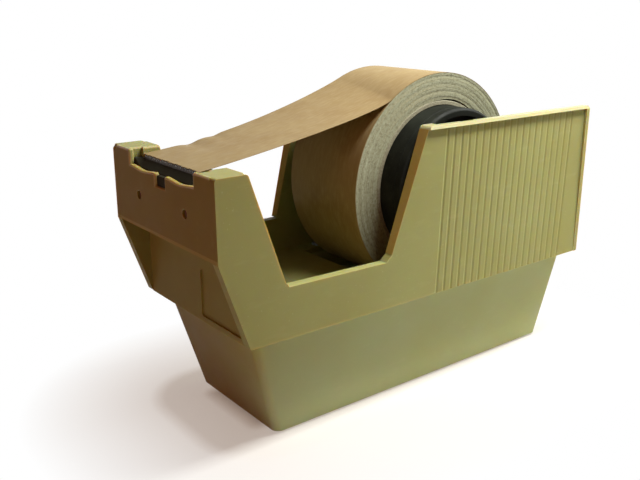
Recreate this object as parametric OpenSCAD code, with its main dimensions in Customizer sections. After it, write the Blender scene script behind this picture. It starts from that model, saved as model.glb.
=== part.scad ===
// Counter tape dispenser for wide rolls on a long lift-out hub.
// The cutting head is at -X, the rear at +X, and the rolls turn about Y.
// Heights are measured from the table, lengths from the front face.

/* [Housing] */
// Overall length, front face to rear face
body_l = 234; // [215:0.5:260]
// Width across the outer faces of the side walls
body_w = 93; // [88:0.5:110]
// Thickness of the side walls
wall_t = 4.8; // [4:0.1:5.5]
// Thickness of the inner walls, floor, platform and toe panel
skin_t = 3; // [2.4:0.1:3.6]
// Thickness of the rear wall
rear_t = 4; // [3:0.1:5]
// Height of the bottom edge of the housing
skirt_z = 53; // [49:0.5:57]
// Height of the bottom of the side notches and of the rear wall
notch_z = 77; // [70:0.5:84]
// Front end of the notch bottom
notch_x0 = 32; // [28:0.5:38]
// Rear end of the notch bottom
notch_x1 = 90.5; // [82:0.5:96]
// Front top corner of the rear side panels
panel_x0 = 112.9; // [102:0.1:118]
// Height of the rear side panels
panel_z = 135.1; // [128:0.1:142]
// How far the side walls' outer faces lean in, from the bottom edge to the panels' top
side_draft = 1.1; // [0.4:0.1:1.4]
// How far the panels' top lip and rear rim stand out from the bottom edge
rim_out = 0.4; // [0.2:0.1:1.5]
// Height of the panels' top lip
lip_h = 1.5; // [0.8:0.1:3]
// Width of the panels' rear rim
rim_w = 2.5; // [1.5:0.1:5]
// Height of the thinned band inside the top of the panels
rebate_h = 12; // [8:0.5:16]
// Depth of that band
rebate_d = 1; // [0.6:0.1:2]
// Length of the hub guides inside the panels' front ends
guide_l = 7; // [4:0.5:12]

/* [Panel grooves] */
// Number of grooves on each panel
groove_n = 20; // [10:1:22]
// Middle of the first groove at the bottom edge
groove_x0 = 120.8; // [117:0.1:122]
// Spacing of the grooves
groove_pitch = 5; // [3.5:0.1:5]
// Width of a groove at the face
groove_w = 2.2; // [1.2:0.1:2.8]
// Depth of a groove
groove_d = 0.3; // [0.2:0.05:0.8]
// How far the grooves lean to the rear, in degrees
groove_lean = 3.2; // [0:0.1:4]

/* [Cutting head] */
// Height of the end blocks
head_z = 126; // [122:0.5:132]
// Depth of the end blocks at their top
head_d = 15; // [13:0.5:18]
// Clear width between the end blocks
head_gap = 57.2; // [54:0.2:62]
// Height of the crease where the front face turns under
crease_z = 92; // [86:0.5:97]
// Setback of the toe panel under the crease
toe_d = 13.5; // [10:0.5:17]
// Thickness of the front wall
front_t = 2.6; // [2.2:0.1:3.2]
// How far the front lip lies below the end blocks
lip_drop = 6; // [5:0.1:7]
// Depth of the shallow waves in the front lip
lip_wave = 1; // [0.4:0.1:1.4]
// Width of the notch in the middle of the front lip
lip_notch_w = 8.4; // [6:0.2:11]
// Depth of that notch
lip_notch_d = 5.6; // [4:0.2:7]
// How far the tape platform lies below the end blocks
platform_drop = 3; // [2.4:0.1:3.6]
// Width of the recess in the toe panel
badge_w = 33; // [24:0.5:34]
// Height of that recess
badge_h = 22; // [16:0.5:30]
// Depth of that recess
badge_d = 0.8; // [0.4:0.1:1.2]

/* [Blade] */
// Thickness of the blade
blade_t = 0.8; // [0.6:0.1:1.2]
// How far the teeth rise above the platform
blade_rise = 1; // [0.6:0.1:1.6]
// Height of the blade
blade_h = 16; // [12:0.5:18]
// Spacing of the teeth
tooth_pitch = 2; // [1.6:0.1:2.6]
// Height of a tooth
tooth_h = 1.6; // [1:0.1:2]
// Thickness of the blade holder
holder_t = 3.4; // [2.8:0.1:4]
// Height of the blade holder
holder_h = 19; // [17:0.5:22]
// How far the holder and the blade reach into each end block
holder_in = 2; // [1.4:0.1:2.6]
// Distance between the two holder rivets
rivet_gap = 41.6; // [36:0.2:46]
// Distance of the rivets below the top of the holder
rivet_drop = 15; // [13:0.5:16]
// Radius of a rivet
rivet_r = 2; // [1.5:0.1:2.4]
// How far the rivets lie below the front face
rivet_sink = 0.8; // [0.4:0.1:1.4]

/* [Base] */
// Inset of the base front at the housing
base_front_top = 19.3; // [18:0.1:22]
// Inset of the base front at the table
base_front_foot = 34.4; // [30:0.1:38]
// Inset of the base rear at the housing
base_rear_top = 0.6; // [0.5:0.1:3]
// Inset of the base rear at the table
base_rear_foot = 12.5; // [10:0.1:16]
// Inset of the base sides at the housing
base_side_top = 8.4; // [7.6:0.1:9]
// Inset of the base sides at the table
base_side_foot = 13.4; // [12:0.1:15]
// Radius of the upright corners of the base
base_r = 4; // [3.5:0.5:6]
// Thickness of the base walls
base_t = 3; // [2.6:0.1:3.4]
// Thickness of the bottom plate
plate_t = 2; // [1.5:0.1:3]
// Height of the ballast block
ballast_h = 33; // [28:0.5:34]
// Radius of the rubber feet
foot_r = 7; // [6:0.5:8]
// Thickness of the rubber feet
foot_t = 2; // [1.6:0.1:3]
// Distance from the base front or rear to a foot's middle
foot_in = 26; // [22:0.5:32]

/* [Hub] */
// Distance from the front face to the axle
axle_x = 140; // [134:0.5:146]
// Height of the axle
axle_z = 102.5; // [99:0.5:106]
// Radius of the axle
axle_r = 5; // [4.5:0.1:5.5]
// Depth of the axle slots in the side walls
slot_d = 1.8; // [1.5:0.1:2.4]
// Gap between the hub's ends and the side walls
hub_gap = 2.6; // [2:0.1:4]
// Wall of the hub drum
drum_t = 3; // [2:0.1:4]
// Height of the rim round the hub's end caps
rim_h = 2.6; // [2.4:0.1:4]
// Width of that rim
cap_rim = 4; // [3:0.1:6]
// Chamfer on the outside of that rim
cap_chamfer = 1.2; // [0.6:0.1:2]
// Thickness of the end caps behind the rim
cap_t = 2.4; // [2:0.1:4]
// Outer radius of the bushes
bush_r = 8; // [7:0.1:9]
// Length of the bushes
bush_l = 9; // [7:0.5:12]
// Thickness of the washers
washer_t = 1; // [0.8:0.1:1.4]
// Thickness of the retaining clips
clip_t = 1; // [0.8:0.1:1.2]

/* [Tape] */
// Width of the tape
tape_w = 50.8; // [24:0.2:52]
// Inner radius of the paper core
core_r = 38.1; // [38:0.1:39]
// Wall of the paper core
core_t = 2.1; // [1.5:0.1:3.5]
// Outer radius of the roll, with its outer lap
roll_r = 54; // [46:0.5:57]
// How far the wound layers stand in and out
layer_step = 0.35; // [0.1:0.05:0.6]
// Thickness of the loose strip
strip_t = 0.6; // [0.4:0.1:1]
// Where the strip's near edge leaves the roll, in degrees before its top
peel_near = 40; // [25:1:48]
// Where the strip's far edge leaves the roll
peel_far = 20; // [12:1:40]
// What the outer lap lacks of a full turn, in degrees
lap_gap = 14; // [12:1:90]

/* [Hidden] */
$fn = 64;

// Clearances
fit_gap = 0.3;
pocket_gap = 0.1;
run_gap = 0.08;
core_gap = 0.15;
seat_gap = 0.2;
press_gap = 0.02;
floor_gap = 5.5;
eps = 0.01;
cut = 1;

// Colours
olive = "#9a9562";
olive_dark = "#8f8a5a";
black = "#1c1c1e";
steel = "#a8acb0";
kraft = "#b9a27a";

// Housing
half_w = body_w / 2;
in_w = half_w - wall_t;
floor_z = skirt_z + 2 * skin_t;
plate_z = skirt_z + skin_t;
slope = (notch_x0 - head_d) / (head_z - notch_z);
slope_t = skin_t * sqrt(1 + slope * slope);
side_points = [
  [toe_d, skirt_z], [0, crease_z], [0, head_z], [head_d, head_z],
  [notch_x0, notch_z], [notch_x1, notch_z], [panel_x0, panel_z],
  [body_l, panel_z], [body_l, skirt_z]
];
side_radii = [0.8, 1.2, 1.6, 1.6, 2.4, 2.4, 2.2, 0.8, 0.8];
face_h = panel_z - skirt_z;
face_lean = atan(side_draft / face_h);
rim_y = half_w - side_draft - groove_d - fit_gap;

// Cutting head
gap_w = head_gap / 2;
lip_z = head_z - lip_drop;
platform_z = head_z - platform_drop;
holder_x = front_t + pocket_gap;
blade_x = holder_x + holder_t;
rib_x = blade_x + blade_t + pocket_gap;
holder_w = gap_w + holder_in - pocket_gap;
tip_z = platform_z + blade_rise;
holder_z = tip_z - tooth_h;
pocket_z = crease_z + skin_t;
holder_foot = max(holder_z - holder_h, pocket_z + fit_gap);
blade_foot = max(tip_z - blade_h, holder_foot);
rivet_z = holder_z - rivet_drop;
tab_w = lip_notch_w - 2 * fit_gap;
tab_x = front_t / 3;
wave_steps = 12;
badge_y = -in_w + 2;
badge_z = skirt_z + 2.5;
badge_r = 1.5;
badge_points = [
  [badge_y, badge_z], [badge_y + badge_w, badge_z],
  [badge_y + badge_w, badge_z + badge_h], [badge_y, badge_z + badge_h]
];

// Base
rim_z = foot_t / 2;
plate_top = foot_t + plate_t;
boss_r = 4.6;
screw_r = 1.6;
head_r = 2.9;
screw_head = 1.3;
bottom_screw_l = 12;
shell_screw_x = 28;
trough_r = roll_r + floor_gap;
trough_w = in_w - 2 * base_t - 2.2;
shell_screw_y = (trough_w + in_w) / 2;
screw_in = foot_in + 2 * foot_r;

// Hub
slot_w = 2 * axle_r - 0.5;
flat_w = slot_w - fit_gap;
slot_y = in_w + slot_d;
hub_end = in_w - hub_gap;
guide_y = hub_end + 0.4;
drum_r = core_r - core_gap;
face_y = hub_end - rim_h;
bore_r = axle_r + run_gap;
bush_flange_r = bush_r + 2;
bush_flange_t = 1.2;
washer_y = face_y + seat_gap;
clip_y = washer_y + washer_t;
clip_groove = 0.8;
clip_out = 2.6;
clip_gap = 6;
flat_y = clip_y + clip_t + seat_gap;
plug_l = 4;

// Tape
layer_n = 8;
strip_end_x = rib_x + fit_gap;
strip_rest_z = platform_z + fit_gap + strip_t / 2;
lap_r = roll_r - strip_t / 2;
wound_r = roll_r - strip_t - fit_gap;
strip_rise = 9;
strip_lead = 46;
near_pull = 14;
far_pull = 44;
strip_steps = 18;
lap_steps = 48;
strip_rows = 6;

// Distance from the front face of the sloping wall behind the head, at height z
function slope_x(z) = head_d + slope * (head_z - z);

// Insets of the base at height z, from its foot to the housing
function taper(foot, top, z) = foot + (top - foot) * z / skirt_z;

function unit(v) = v / norm(v);

// Points of an arc of radius r that rounds the corner b between a and c
function corner(a, b, c, r, n = 6) =
  let (
    u = unit(a - b),
    v = unit(c - b),
    half = acos(u * v) / 2,
    mid = b + unit(u + v) * r / sin(half),
    from = b + u * r / tan(half) - mid,
    to = b + v * r / tan(half) - mid,
    a0 = atan2(from.y, from.x),
    turn = atan2(to.y, to.x) - a0,
    sweep = turn > 180 ? turn - 360 : turn < -180 ? turn + 360 : turn
  )
  [for (i = [0:n]) mid + r * [cos(a0 + sweep * i / n), sin(a0 + sweep * i / n)]];

function round_points(p, r) =
  let (n = len(p))
  [for (i = [0:n - 1]) each corner(p[(i + n - 1) % n], p[i], p[(i + 1) % n], r[i])];

function bezier(a, b, c, d, t) =
  pow(1 - t, 3) * a + 3 * t * pow(1 - t, 2) * b + 3 * t * t * (1 - t) * c + pow(t, 3) * d;

function bezier_slope(a, b, c, d, t) =
  pow(1 - t, 2) * (b - a) + 2 * t * (1 - t) * (c - b) + t * t * (d - c);

// Height of the wavy front lip at y: each half dips between its ends
function wave_z(y) =
  let (k = (abs(y) - lip_notch_w / 2) / (gap_w - lip_notch_w / 2))
  lip_z - lip_wave * (1 - cos(360 * k)) / 2;

// Point on the tape's path at height h above its middle. Step t runs from the blade to
// the roll up to 1, then round the roll up to 2, and k from the near edge to the far edge.
function strip_point(t, k, h) =
  let (
    peel = peel_near + (peel_far - peel_near) * k,
    pull = near_pull + (far_pull - near_pull) * k,
    turn = (360 - lap_gap) * (t - 1) - peel,
    hub = [axle_x, axle_z],
    a = [strip_end_x, strip_rest_z],
    d = hub + lap_r * [-sin(peel), cos(peel)],
    b = a + strip_lead * [cos(strip_rise), sin(strip_rise)],
    c = d - pull * [cos(peel), sin(peel)],
    way = unit(bezier_slope(a, b, c, d, t)),
    p = t < 1
      ? bezier(a, b, c, d, t) + h * [-way.y, way.x]
      : hub + (lap_r + h) * [sin(turn), cos(turn)]
  )
  [p.x - body_l / 2, tape_w * (k - 0.5), p.y];

// Draws a side-view outline (length, height) as a slab between two widths
module across(y0, y1) {
  translate([-body_l / 2, y1, 0])
    rotate([90, 0, 0])
      linear_extrude(y1 - y0)
        children();
}

// Draws a front-view outline (width, height) as a slab between two lengths
module along(x0, x1) {
  translate([x0 - body_l / 2, 0, 0])
    rotate([90, 0, 90])
      linear_extrude(x1 - x0)
        children();
}

// Draws a top-view outline (length, width) as a slab between two heights
module upright(z0, z1) {
  translate([-body_l / 2, 0, z0])
    linear_extrude(z1 - z0)
      children();
}

module block(x, y, z) {
  translate([x[0] - body_l / 2, y[0], z[0]])
    cube([x[1] - x[0], y[1] - y[0], z[1] - z[0]]);
}

module both_sides() {
  children();
  mirror([0, 1, 0])
    children();
}

// Places an upright shape on the axle, with its +Z along +Y from width y
module on_axle(y = 0) {
  translate([axle_x - body_l / 2, y, axle_z])
    rotate([-90, 0, 0])
      children();
}

module tube(r_in, r_out, h) {
  difference() {
    cylinder(r = r_out, h = h);
    translate([0, 0, -cut])
      cylinder(r = r_in, h = h + 2 * cut);
  }
}

module round_rect(x0, x1, w, r) {
  translate([x0 + r, -w])
    square([x1 - x0 - 2 * r, 2 * w]);
  translate([x0, r - w])
    square([x1 - x0, 2 * (w - r)]);
  for (x = [x0 + r, x1 - r], y = [r - w, w - r])
    translate([x, y])
      circle(r);
}

module pan_screw(length) {
  cylinder(r = screw_r, h = length);
  translate([0, 0, length])
    cylinder(r = head_r, h = screw_head);
}

// Upper housing
module side_wall() {
  difference() {
    across(in_w, half_w + cut)
      polygon(round_points(side_points, side_radii));
    on_face() {
      translate([-cut, 0, -cut])
        cube([body_l + 2 * cut, wall_t, face_h + 3 * cut]);
      panel_grooves();
    }
  }
  across(rim_y, half_w + rim_out)
    intersection() {
      polygon(round_points(side_points, side_radii));
      union() {
        translate([notch_x1, panel_z - lip_h])
          square([body_l - notch_x1, lip_h]);
        translate([body_l - rim_w, skirt_z])
          square([rim_w, panel_z - skirt_z]);
      }
    }
}

// Wedge inside a panel's front end, thicker to the top, that leads the hub in
module hub_guide() {
  intersection() {
    across(guide_y, in_w + eps)
      intersection() {
        polygon(round_points(side_points, side_radii));
        polygon([
          [notch_x1, notch_z], [panel_x0, panel_z],
          [panel_x0 + guide_l, panel_z], [notch_x1 + guide_l, notch_z]
        ]);
      }
    along(notch_x1, panel_x0 + guide_l)
      polygon([[in_w + eps, notch_z], [guide_y, panel_z], [in_w + eps, panel_z]]);
  }
}

// Places a shape on the outer face of the far side wall, from its bottom edge
module on_face() {
  translate([-body_l / 2, half_w, skirt_z])
    rotate([face_lean, 0, 0])
      children();
}

// Flat-bottomed grooves that lean to the rear and run out at the bottom edge
module panel_grooves() {
  half = groove_w / 2;
  foot = half - groove_d / 3;
  for (i = [0:groove_n - 1])
    translate([groove_x0 + i * groove_pitch, 0, 0])
      rotate([0, groove_lean, 0])
        translate([0, 0, -2 * cut])
          linear_extrude(face_h + 4 * cut)
            polygon([
              [-half, cut], [-half, 0], [-foot, -groove_d],
              [foot, -groove_d], [half, 0], [half, cut]
            ]);
}

module front_wall() {
  half = [for (i = [0:wave_steps])
    let (y = gap_w + (lip_notch_w / 2 - gap_w) * i / wave_steps)
    [y, wave_z(y)]];
  notch_z0 = lip_z - lip_notch_d;
  right = concat(
    [[in_w, crease_z], [in_w, head_z], [gap_w, head_z]],
    half,
    [[lip_notch_w / 2, notch_z0]]
  );
  left = [for (i = [len(right) - 1:-1:0]) [-right[i].x, right[i].y]];
  along(0, front_t)
    polygon(concat(right, left));
}

// Head behind the front wall: soffit, toe panel, end blocks, platform and sloping wall
module head_walls() {
  rib_end = rib_x + skin_t;
  block([0, toe_d + skin_t], [-in_w, in_w], [crease_z, crease_z + skin_t]);
  block([toe_d, toe_d + skin_t], [-in_w, in_w], [skirt_z, crease_z + skin_t]);
  block([rib_x, rib_end], [-in_w, in_w], [crease_z, platform_z]);
  across(-gap_w - eps, gap_w + eps)
    polygon([
      [rib_x, platform_z - skin_t],
      [rib_x, platform_z],
      [slope_x(platform_z), platform_z],
      [slope_x(platform_z - skin_t), platform_z - skin_t]
    ]);
  across(-in_w, in_w)
    polygon([
      [slope_x(plate_z) - slope_t, plate_z],
      [slope_x(platform_z) - slope_t, platform_z],
      [slope_x(platform_z), platform_z],
      [slope_x(plate_z), plate_z]
    ]);
  both_sides() {
    across(gap_w, gap_w + skin_t)
      polygon([
        [0, crease_z],
        [0, head_z],
        [head_d, head_z],
        [slope_x(crease_z), crease_z]
      ]);
    across(gap_w, in_w)
      polygon([
        [0, platform_z - eps],
        [0, head_z],
        [head_d, head_z],
        [slope_x(platform_z - eps), platform_z - eps]
      ]);
  }
}

module well_floor() {
  difference() {
    block([slope_x(plate_z) - slope_t, body_l - rear_t + eps], [-in_w, in_w], [plate_z, floor_z]);
    trough();
  }
  block([body_l - rear_t, body_l], [-in_w, in_w], [plate_z, notch_z]);
}

// Round trough under the roll, through the well floor and into the base
module trough() {
  on_axle(-trough_w)
    cylinder(r = trough_r, h = 2 * trough_w, $fn = 128);
}

module axle_slot() {
  block(
    [axle_x - slot_w / 2, axle_x + slot_w / 2],
    [in_w - cut, slot_y],
    [axle_z - axle_r - seat_gap, panel_z + cut]
  );
}

module upper_shell() {
  color(olive)
    difference() {
      union() {
        both_sides() {
          side_wall();
          hub_guide();
        }
        front_wall();
        head_walls();
        well_floor();
      }
      both_sides() {
        axle_slot();
        block(
          [panel_x0 + guide_l, body_l + cut],
          [in_w - cut, in_w + rebate_d],
          [panel_z - rebate_h, panel_z + cut]
        );
        block([front_t, rib_x], [gap_w - cut, gap_w + holder_in], [pocket_z, head_z + cut]);
      }
      along(toe_d - cut, toe_d + badge_d)
        polygon(round_points(badge_points, [badge_r, badge_r, badge_r, badge_r]));
      at_rivets(-cut)
        cylinder(r = rivet_r + press_gap, h = front_t + 2 * cut);
      at_shell_screws(plate_z - cut)
        cylinder(r = screw_r + press_gap, h = skin_t + 2 * cut);
    }
}

module at_rivets(x) {
  for (y = [-rivet_gap / 2, rivet_gap / 2])
    translate([x - body_l / 2, y, rivet_z])
      rotate([0, 90, 0])
        children();
}

module at_shell_screws(z) {
  for (x = [axle_x - shell_screw_x, axle_x + shell_screw_x], y = [-shell_screw_y, shell_screw_y])
    translate([x - body_l / 2, y, z])
      children();
}

module shell_screws() {
  color(steel)
    at_shell_screws(skirt_z + 0.5)
      pan_screw(floor_z - skirt_z - 0.5);
}

// Base
module taper_box(z0, z1, inset) {
  r = base_r - inset / 2;
  hull()
    for (z = [z0, z1])
      let (
        x0 = taper(base_front_foot, base_front_top, z) + inset,
        x1 = body_l - taper(base_rear_foot, base_rear_top, z) - inset,
        w = half_w - taper(base_side_foot, base_side_top, z) - inset
      )
        for (x = [x0 + r, x1 - r], y = [r - w, w - r])
          translate([x - body_l / 2, y, z - (z == z1 ? eps : 0)])
            cylinder(r = r, h = eps, $fn = 32);
}

module at_bottom_screws(z) {
  for (x = [base_front_foot + screw_in, body_l - base_rear_foot - screw_in], y = [-1, 1])
    translate([x - body_l / 2, y * (half_w - base_side_foot - base_t - boss_r), z])
      children();
}

module base_tub() {
  color(olive_dark)
    difference() {
      union() {
        difference() {
          union() {
            taper_box(rim_z, skirt_z, 0);
            block([toe_d + skin_t + fit_gap, body_l], [fit_gap - in_w, in_w - fit_gap], [skirt_z, plate_z]);
          }
          taper_box(rim_z - eps, skirt_z, base_t);
        }
        intersection() {
          on_axle(-trough_w - base_t)
            cylinder(r = trough_r + base_t, h = 2 * (trough_w + base_t), $fn = 128);
          block([0, body_l], [-half_w, half_w], [rim_z, skirt_z + eps]);
        }
        at_bottom_screws(plate_top)
          cylinder(r = boss_r, h = skirt_z - plate_top);
      }
      trough();
      at_bottom_screws(0)
        cylinder(r = screw_r + press_gap, h = foot_t + bottom_screw_l + cut);
      at_shell_screws(skirt_z + 0.5)
        cylinder(r = screw_r + press_gap, h = skin_t);
    }
}

module ballast_block() {
  color("#8b8b86")
    difference() {
      taper_box(plate_top, plate_top + ballast_h, base_t + cut);
      at_bottom_screws(0)
        cylinder(r = boss_r + cut, h = skirt_z);
    }
}

module bottom_plate() {
  inset = base_t + fit_gap;
  color(steel)
    difference() {
      upright(foot_t, plate_top)
        round_rect(
          base_front_foot + inset,
          body_l - base_rear_foot - inset,
          half_w - base_side_foot - inset,
          base_r - inset / 2
        );
      at_bottom_screws(0)
        cylinder(r = screw_r + press_gap, h = skirt_z);
    }
}

module bottom_screws() {
  color(steel)
    at_bottom_screws(foot_t + bottom_screw_l)
      mirror([0, 0, 1])
        pan_screw(bottom_screw_l);
}

module foot(x, side) {
  color(black)
    translate([x - body_l / 2, side * (half_w - base_side_foot - base_t - foot_r - cut), 0]) {
      cylinder(r1 = foot_r - foot_t / 4, r2 = foot_r, h = foot_t / 4);
      translate([0, 0, foot_t / 4])
        cylinder(r = foot_r, h = 3 * foot_t / 4);
    }
}

module foot_front_near() { foot(base_front_foot + foot_in, -1); }
module foot_front_far() { foot(base_front_foot + foot_in, 1); }
module foot_rear_near() { foot(body_l - base_rear_foot - foot_in, -1); }
module foot_rear_far() { foot(body_l - base_rear_foot - foot_in, 1); }

// Blade
module blade_holder() {
  color(black)
    difference() {
      union() {
        block([holder_x, blade_x], [-holder_w, holder_w], [holder_foot, holder_z]);
        block(
          [tab_x, holder_x + eps],
          [-tab_w / 2, tab_w / 2],
          [lip_z - lip_notch_d + pocket_gap, lip_z - lip_wave]
        );
      }
      at_rivets(0)
        cylinder(r = rivet_r + press_gap, h = blade_x - holder_t / 4);
    }
}

module cutter_blade() {
  tooth_n = floor(2 * (gap_w - fit_gap) / tooth_pitch);
  teeth_w = tooth_n * tooth_pitch / 2;
  teeth = [for (i = [0:tooth_n - 1], p = [[0, 0], [0.5, tooth_h]])
    [teeth_w - (i + p.x) * tooth_pitch, holder_z + p.y]];
  color("#3a3b3d")
    along(blade_x, blade_x + blade_t)
      polygon(concat(
        [[-holder_w, blade_foot], [holder_w, blade_foot], [holder_w, holder_z]],
        teeth,
        [[-teeth_w, holder_z], [-holder_w, holder_z]]
      ));
}

module holder_rivets() {
  color("#4a3a2c")
    at_rivets(rivet_sink)
      cylinder(r = rivet_r, h = blade_x - holder_t / 4 - rivet_sink);
}

// Axle and what stays on it
module axle() {
  end_y = slot_y - fit_gap;
  color(steel)
    difference() {
      on_axle(-end_y)
        cylinder(r = axle_r, h = 2 * end_y);
      both_sides() {
        for (s = [-1, 1])
          on_axle(flat_y)
            translate([s * (flat_w / 2 + axle_r), 0, axle_r])
              cube([2 * axle_r, 4 * axle_r, 2 * axle_r], center = true);
        on_axle(clip_y)
          tube(axle_r - clip_groove, axle_r + cut, clip_t);
      }
    }
}

module washer() {
  color(steel)
    on_axle(washer_y)
      tube(axle_r + press_gap, bush_flange_r - 1, washer_t);
}

// Retaining clip: a ring open at the bottom, sprung into its groove on the axle
module clip() {
  color(steel)
    on_axle(clip_y)
      difference() {
        tube(axle_r - clip_groove + press_gap, axle_r + clip_out, clip_t);
        translate([-clip_gap / 2, 0, -cut])
          cube([clip_gap, 2 * axle_r, clip_t + 2 * cut]);
      }
}

module washer_far() { washer(); }
module washer_near() { mirror([0, 1, 0]) washer(); }
module clip_far() { clip(); }
module clip_near() { mirror([0, 1, 0]) clip(); }

// Tape from the blade to the roll, and its last lap round the roll
module tape_strip() {
  m = strip_rows;
  steps = concat(
    [for (i = [0:strip_steps - 1]) i / strip_steps],
    [for (i = [0:lap_steps]) 1 + i / lap_steps]
  );
  n = len(steps) - 1;
  top = [for (t = steps, j = [0:m]) strip_point(t, j / m, strip_t / 2)];
  under = [for (t = steps, j = [0:m]) strip_point(t, j / m, -strip_t / 2)];
  count = len(top);
  quads = [for (i = [0:n - 1], j = [0:m - 1])
    let (a = i * (m + 1) + j) [a, a + 1, a + m + 2, a + m + 1]];
  rim = concat(
    [for (j = [0:m]) j],
    [for (i = [1:n]) i * (m + 1) + m],
    [for (j = [m - 1:-1:0]) n * (m + 1) + j],
    [for (i = [n - 1:-1:1]) i * (m + 1)]
  );
  top_faces = [for (q = quads, f = [[q[0], q[1], q[2]], [q[0], q[2], q[3]]]) f];
  under_faces = [for (f = top_faces) [f[2] + count, f[1] + count, f[0] + count]];
  side_faces = [for (i = [0:len(rim) - 1])
    let (a = rim[i], b = rim[(i + 1) % len(rim)])
    each [[b, a, a + count], [b, a + count, b + count]]];
  color(kraft)
    polyhedron(
      points = concat(top, under),
      faces = concat(top_faces, under_faces, side_faces)
    );
}

// Hub and roll
module hub_drum() {
  end_y = face_y - cap_t;
  color(black)
    on_axle(-end_y)
      tube(drum_r - drum_t, drum_r, 2 * end_y);
}

// End cap: a plate with a chamfered rim over the drum's end, a ring inside the drum,
// a boss for the bush and spokes between them
module hub_cap() {
  spoke_w = 2.4;
  ring_r = drum_r - drum_t - press_gap;
  ring_in = ring_r - drum_t;
  boss_out = bush_flange_r + cut;
  plate_h = plug_l + cap_t;
  color(black)
    on_axle(face_y - plate_h)
      difference() {
        union() {
          tube(ring_in, ring_r, plug_l + eps);
          cylinder(r = boss_out, h = plate_h);
          rotate_extrude($fn = 128)
            polygon([
              [bush_r, plug_l],
              [drum_r, plug_l],
              [drum_r, plate_h + rim_h - cap_chamfer],
              [drum_r - cap_chamfer, plate_h + rim_h],
              [drum_r - cap_rim, plate_h + rim_h],
              [drum_r - cap_rim, plate_h],
              [bush_r, plate_h]
            ]);
          for (i = [0:5])
            rotate(60 * i)
              translate([boss_out - cut, -spoke_w / 2, 0])
                cube([ring_in - boss_out + 2 * cut, spoke_w, plug_l + eps]);
        }
        translate([0, 0, -cut])
          cylinder(r = bush_r + press_gap, h = plate_h + 2 * cut);
        translate([0, 0, plate_h - bush_flange_t])
          cylinder(r = bush_flange_r + press_gap, h = bush_flange_t + cut);
      }
}

module bush() {
  color("#d8d4c4")
    on_axle(face_y - bush_l)
      difference() {
        union() {
          cylinder(r = bush_r, h = bush_l);
          translate([0, 0, bush_l - bush_flange_t])
            cylinder(r = bush_flange_r, h = bush_flange_t);
        }
        translate([0, 0, -cut])
          cylinder(r = bore_r, h = bush_l + 2 * cut);
      }
}

module hub_cap_far() { hub_cap(); }
module hub_cap_near() { mirror([0, 1, 0]) hub_cap(); }
module bush_far() { bush(); }
module bush_near() { mirror([0, 1, 0]) bush(); }

module tape_core() {
  color("#d6cdb2")
    on_axle(-tape_w / 2)
      tube(core_r, core_r + core_t, tape_w);
}

// Wound tape: its layers stand in and out by a little at both ends
module tape_roll() {
  r0 = core_r + core_t;
  dr = (wound_r - r0) / layer_n;
  out = [for (i = [0:layer_n - 1]) tape_w / 2 - layer_step * (1 + sin(137 * i)) / 2];
  end = [for (i = [0:layer_n - 1], s = [0, 1]) [r0 + dr * (i + s), out[i]]];
  back = [for (i = [len(end) - 1:-1:0]) [end[i].x, -end[i].y]];
  color(kraft)
    on_axle()
      rotate_extrude($fn = 128)
        polygon(concat(end, back));
}

upper_shell();
base_tub();
ballast_block();
bottom_plate();
bottom_screws();
foot_front_near();
foot_front_far();
foot_rear_near();
foot_rear_far();
shell_screws();
blade_holder();
cutter_blade();
holder_rivets();
axle();
washer_near();
washer_far();
clip_near();
clip_far();
tape_strip();
hub_drum();
hub_cap_near();
hub_cap_far();
bush_near();
bush_far();
tape_core();
tape_roll();
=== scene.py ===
"""Studio scene of a weighted counter tape dispenser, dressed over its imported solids.

The cutting head is at -X, the rear at +X, and the roll turns about Y. All sizes are in
metres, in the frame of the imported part.
"""

import logging
import math
from collections.abc import Callable
from dataclasses import dataclass, field
from enum import Enum

import bmesh
import bpy
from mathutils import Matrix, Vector


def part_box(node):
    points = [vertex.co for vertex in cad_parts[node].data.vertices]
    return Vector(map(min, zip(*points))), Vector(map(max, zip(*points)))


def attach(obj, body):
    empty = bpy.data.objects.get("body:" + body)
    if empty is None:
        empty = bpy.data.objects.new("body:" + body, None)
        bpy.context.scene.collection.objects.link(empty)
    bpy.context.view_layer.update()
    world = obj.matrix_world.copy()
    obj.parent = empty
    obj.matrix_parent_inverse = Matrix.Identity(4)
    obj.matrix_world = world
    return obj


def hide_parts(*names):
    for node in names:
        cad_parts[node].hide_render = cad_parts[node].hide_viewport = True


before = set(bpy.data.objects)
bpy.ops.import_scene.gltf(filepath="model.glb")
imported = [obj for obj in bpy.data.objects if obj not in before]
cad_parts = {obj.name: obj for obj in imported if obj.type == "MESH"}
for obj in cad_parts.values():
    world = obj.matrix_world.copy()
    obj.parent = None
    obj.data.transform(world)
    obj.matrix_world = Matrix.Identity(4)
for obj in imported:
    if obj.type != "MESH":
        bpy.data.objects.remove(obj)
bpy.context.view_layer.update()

LOG = logging.getLogger("tape_dispenser")
MM = 0.001
TONE = "tone"

Span = tuple[float, float]
Triple = tuple[float, float, float]
Colour = Triple
Socket = bpy.types.NodeSocket

WHITE: Colour = (1.0, 1.0, 1.0)

# Levels between which most of a noise lies
NOISE_SPAN: Span = (0.3, 0.7)

# Distances at which points are one, lie on a cutting plane or lie at a height
WELD = 0.002 * MM
SNAP = 0.001 * MM
TOUCH = 0.1 * MM

# Rounded edges: steps, turn in degrees below which faces are one, and shares of the room beside an edge
EDGE_STEPS = 3
FLAT_TURN = 0.5
FACE_SHARE = 0.48
LENGTH_SHARE = 0.9
SIDE_SHARE = 0.8

# Limits of a corner's turn in radians, and cosines for edges that run aside or run on
STEEPEST_TURN = 3.0
LEAST_TURN = 0.01
RUNS_ASIDE = 0.75
RUNS_ON = 0.8


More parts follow.
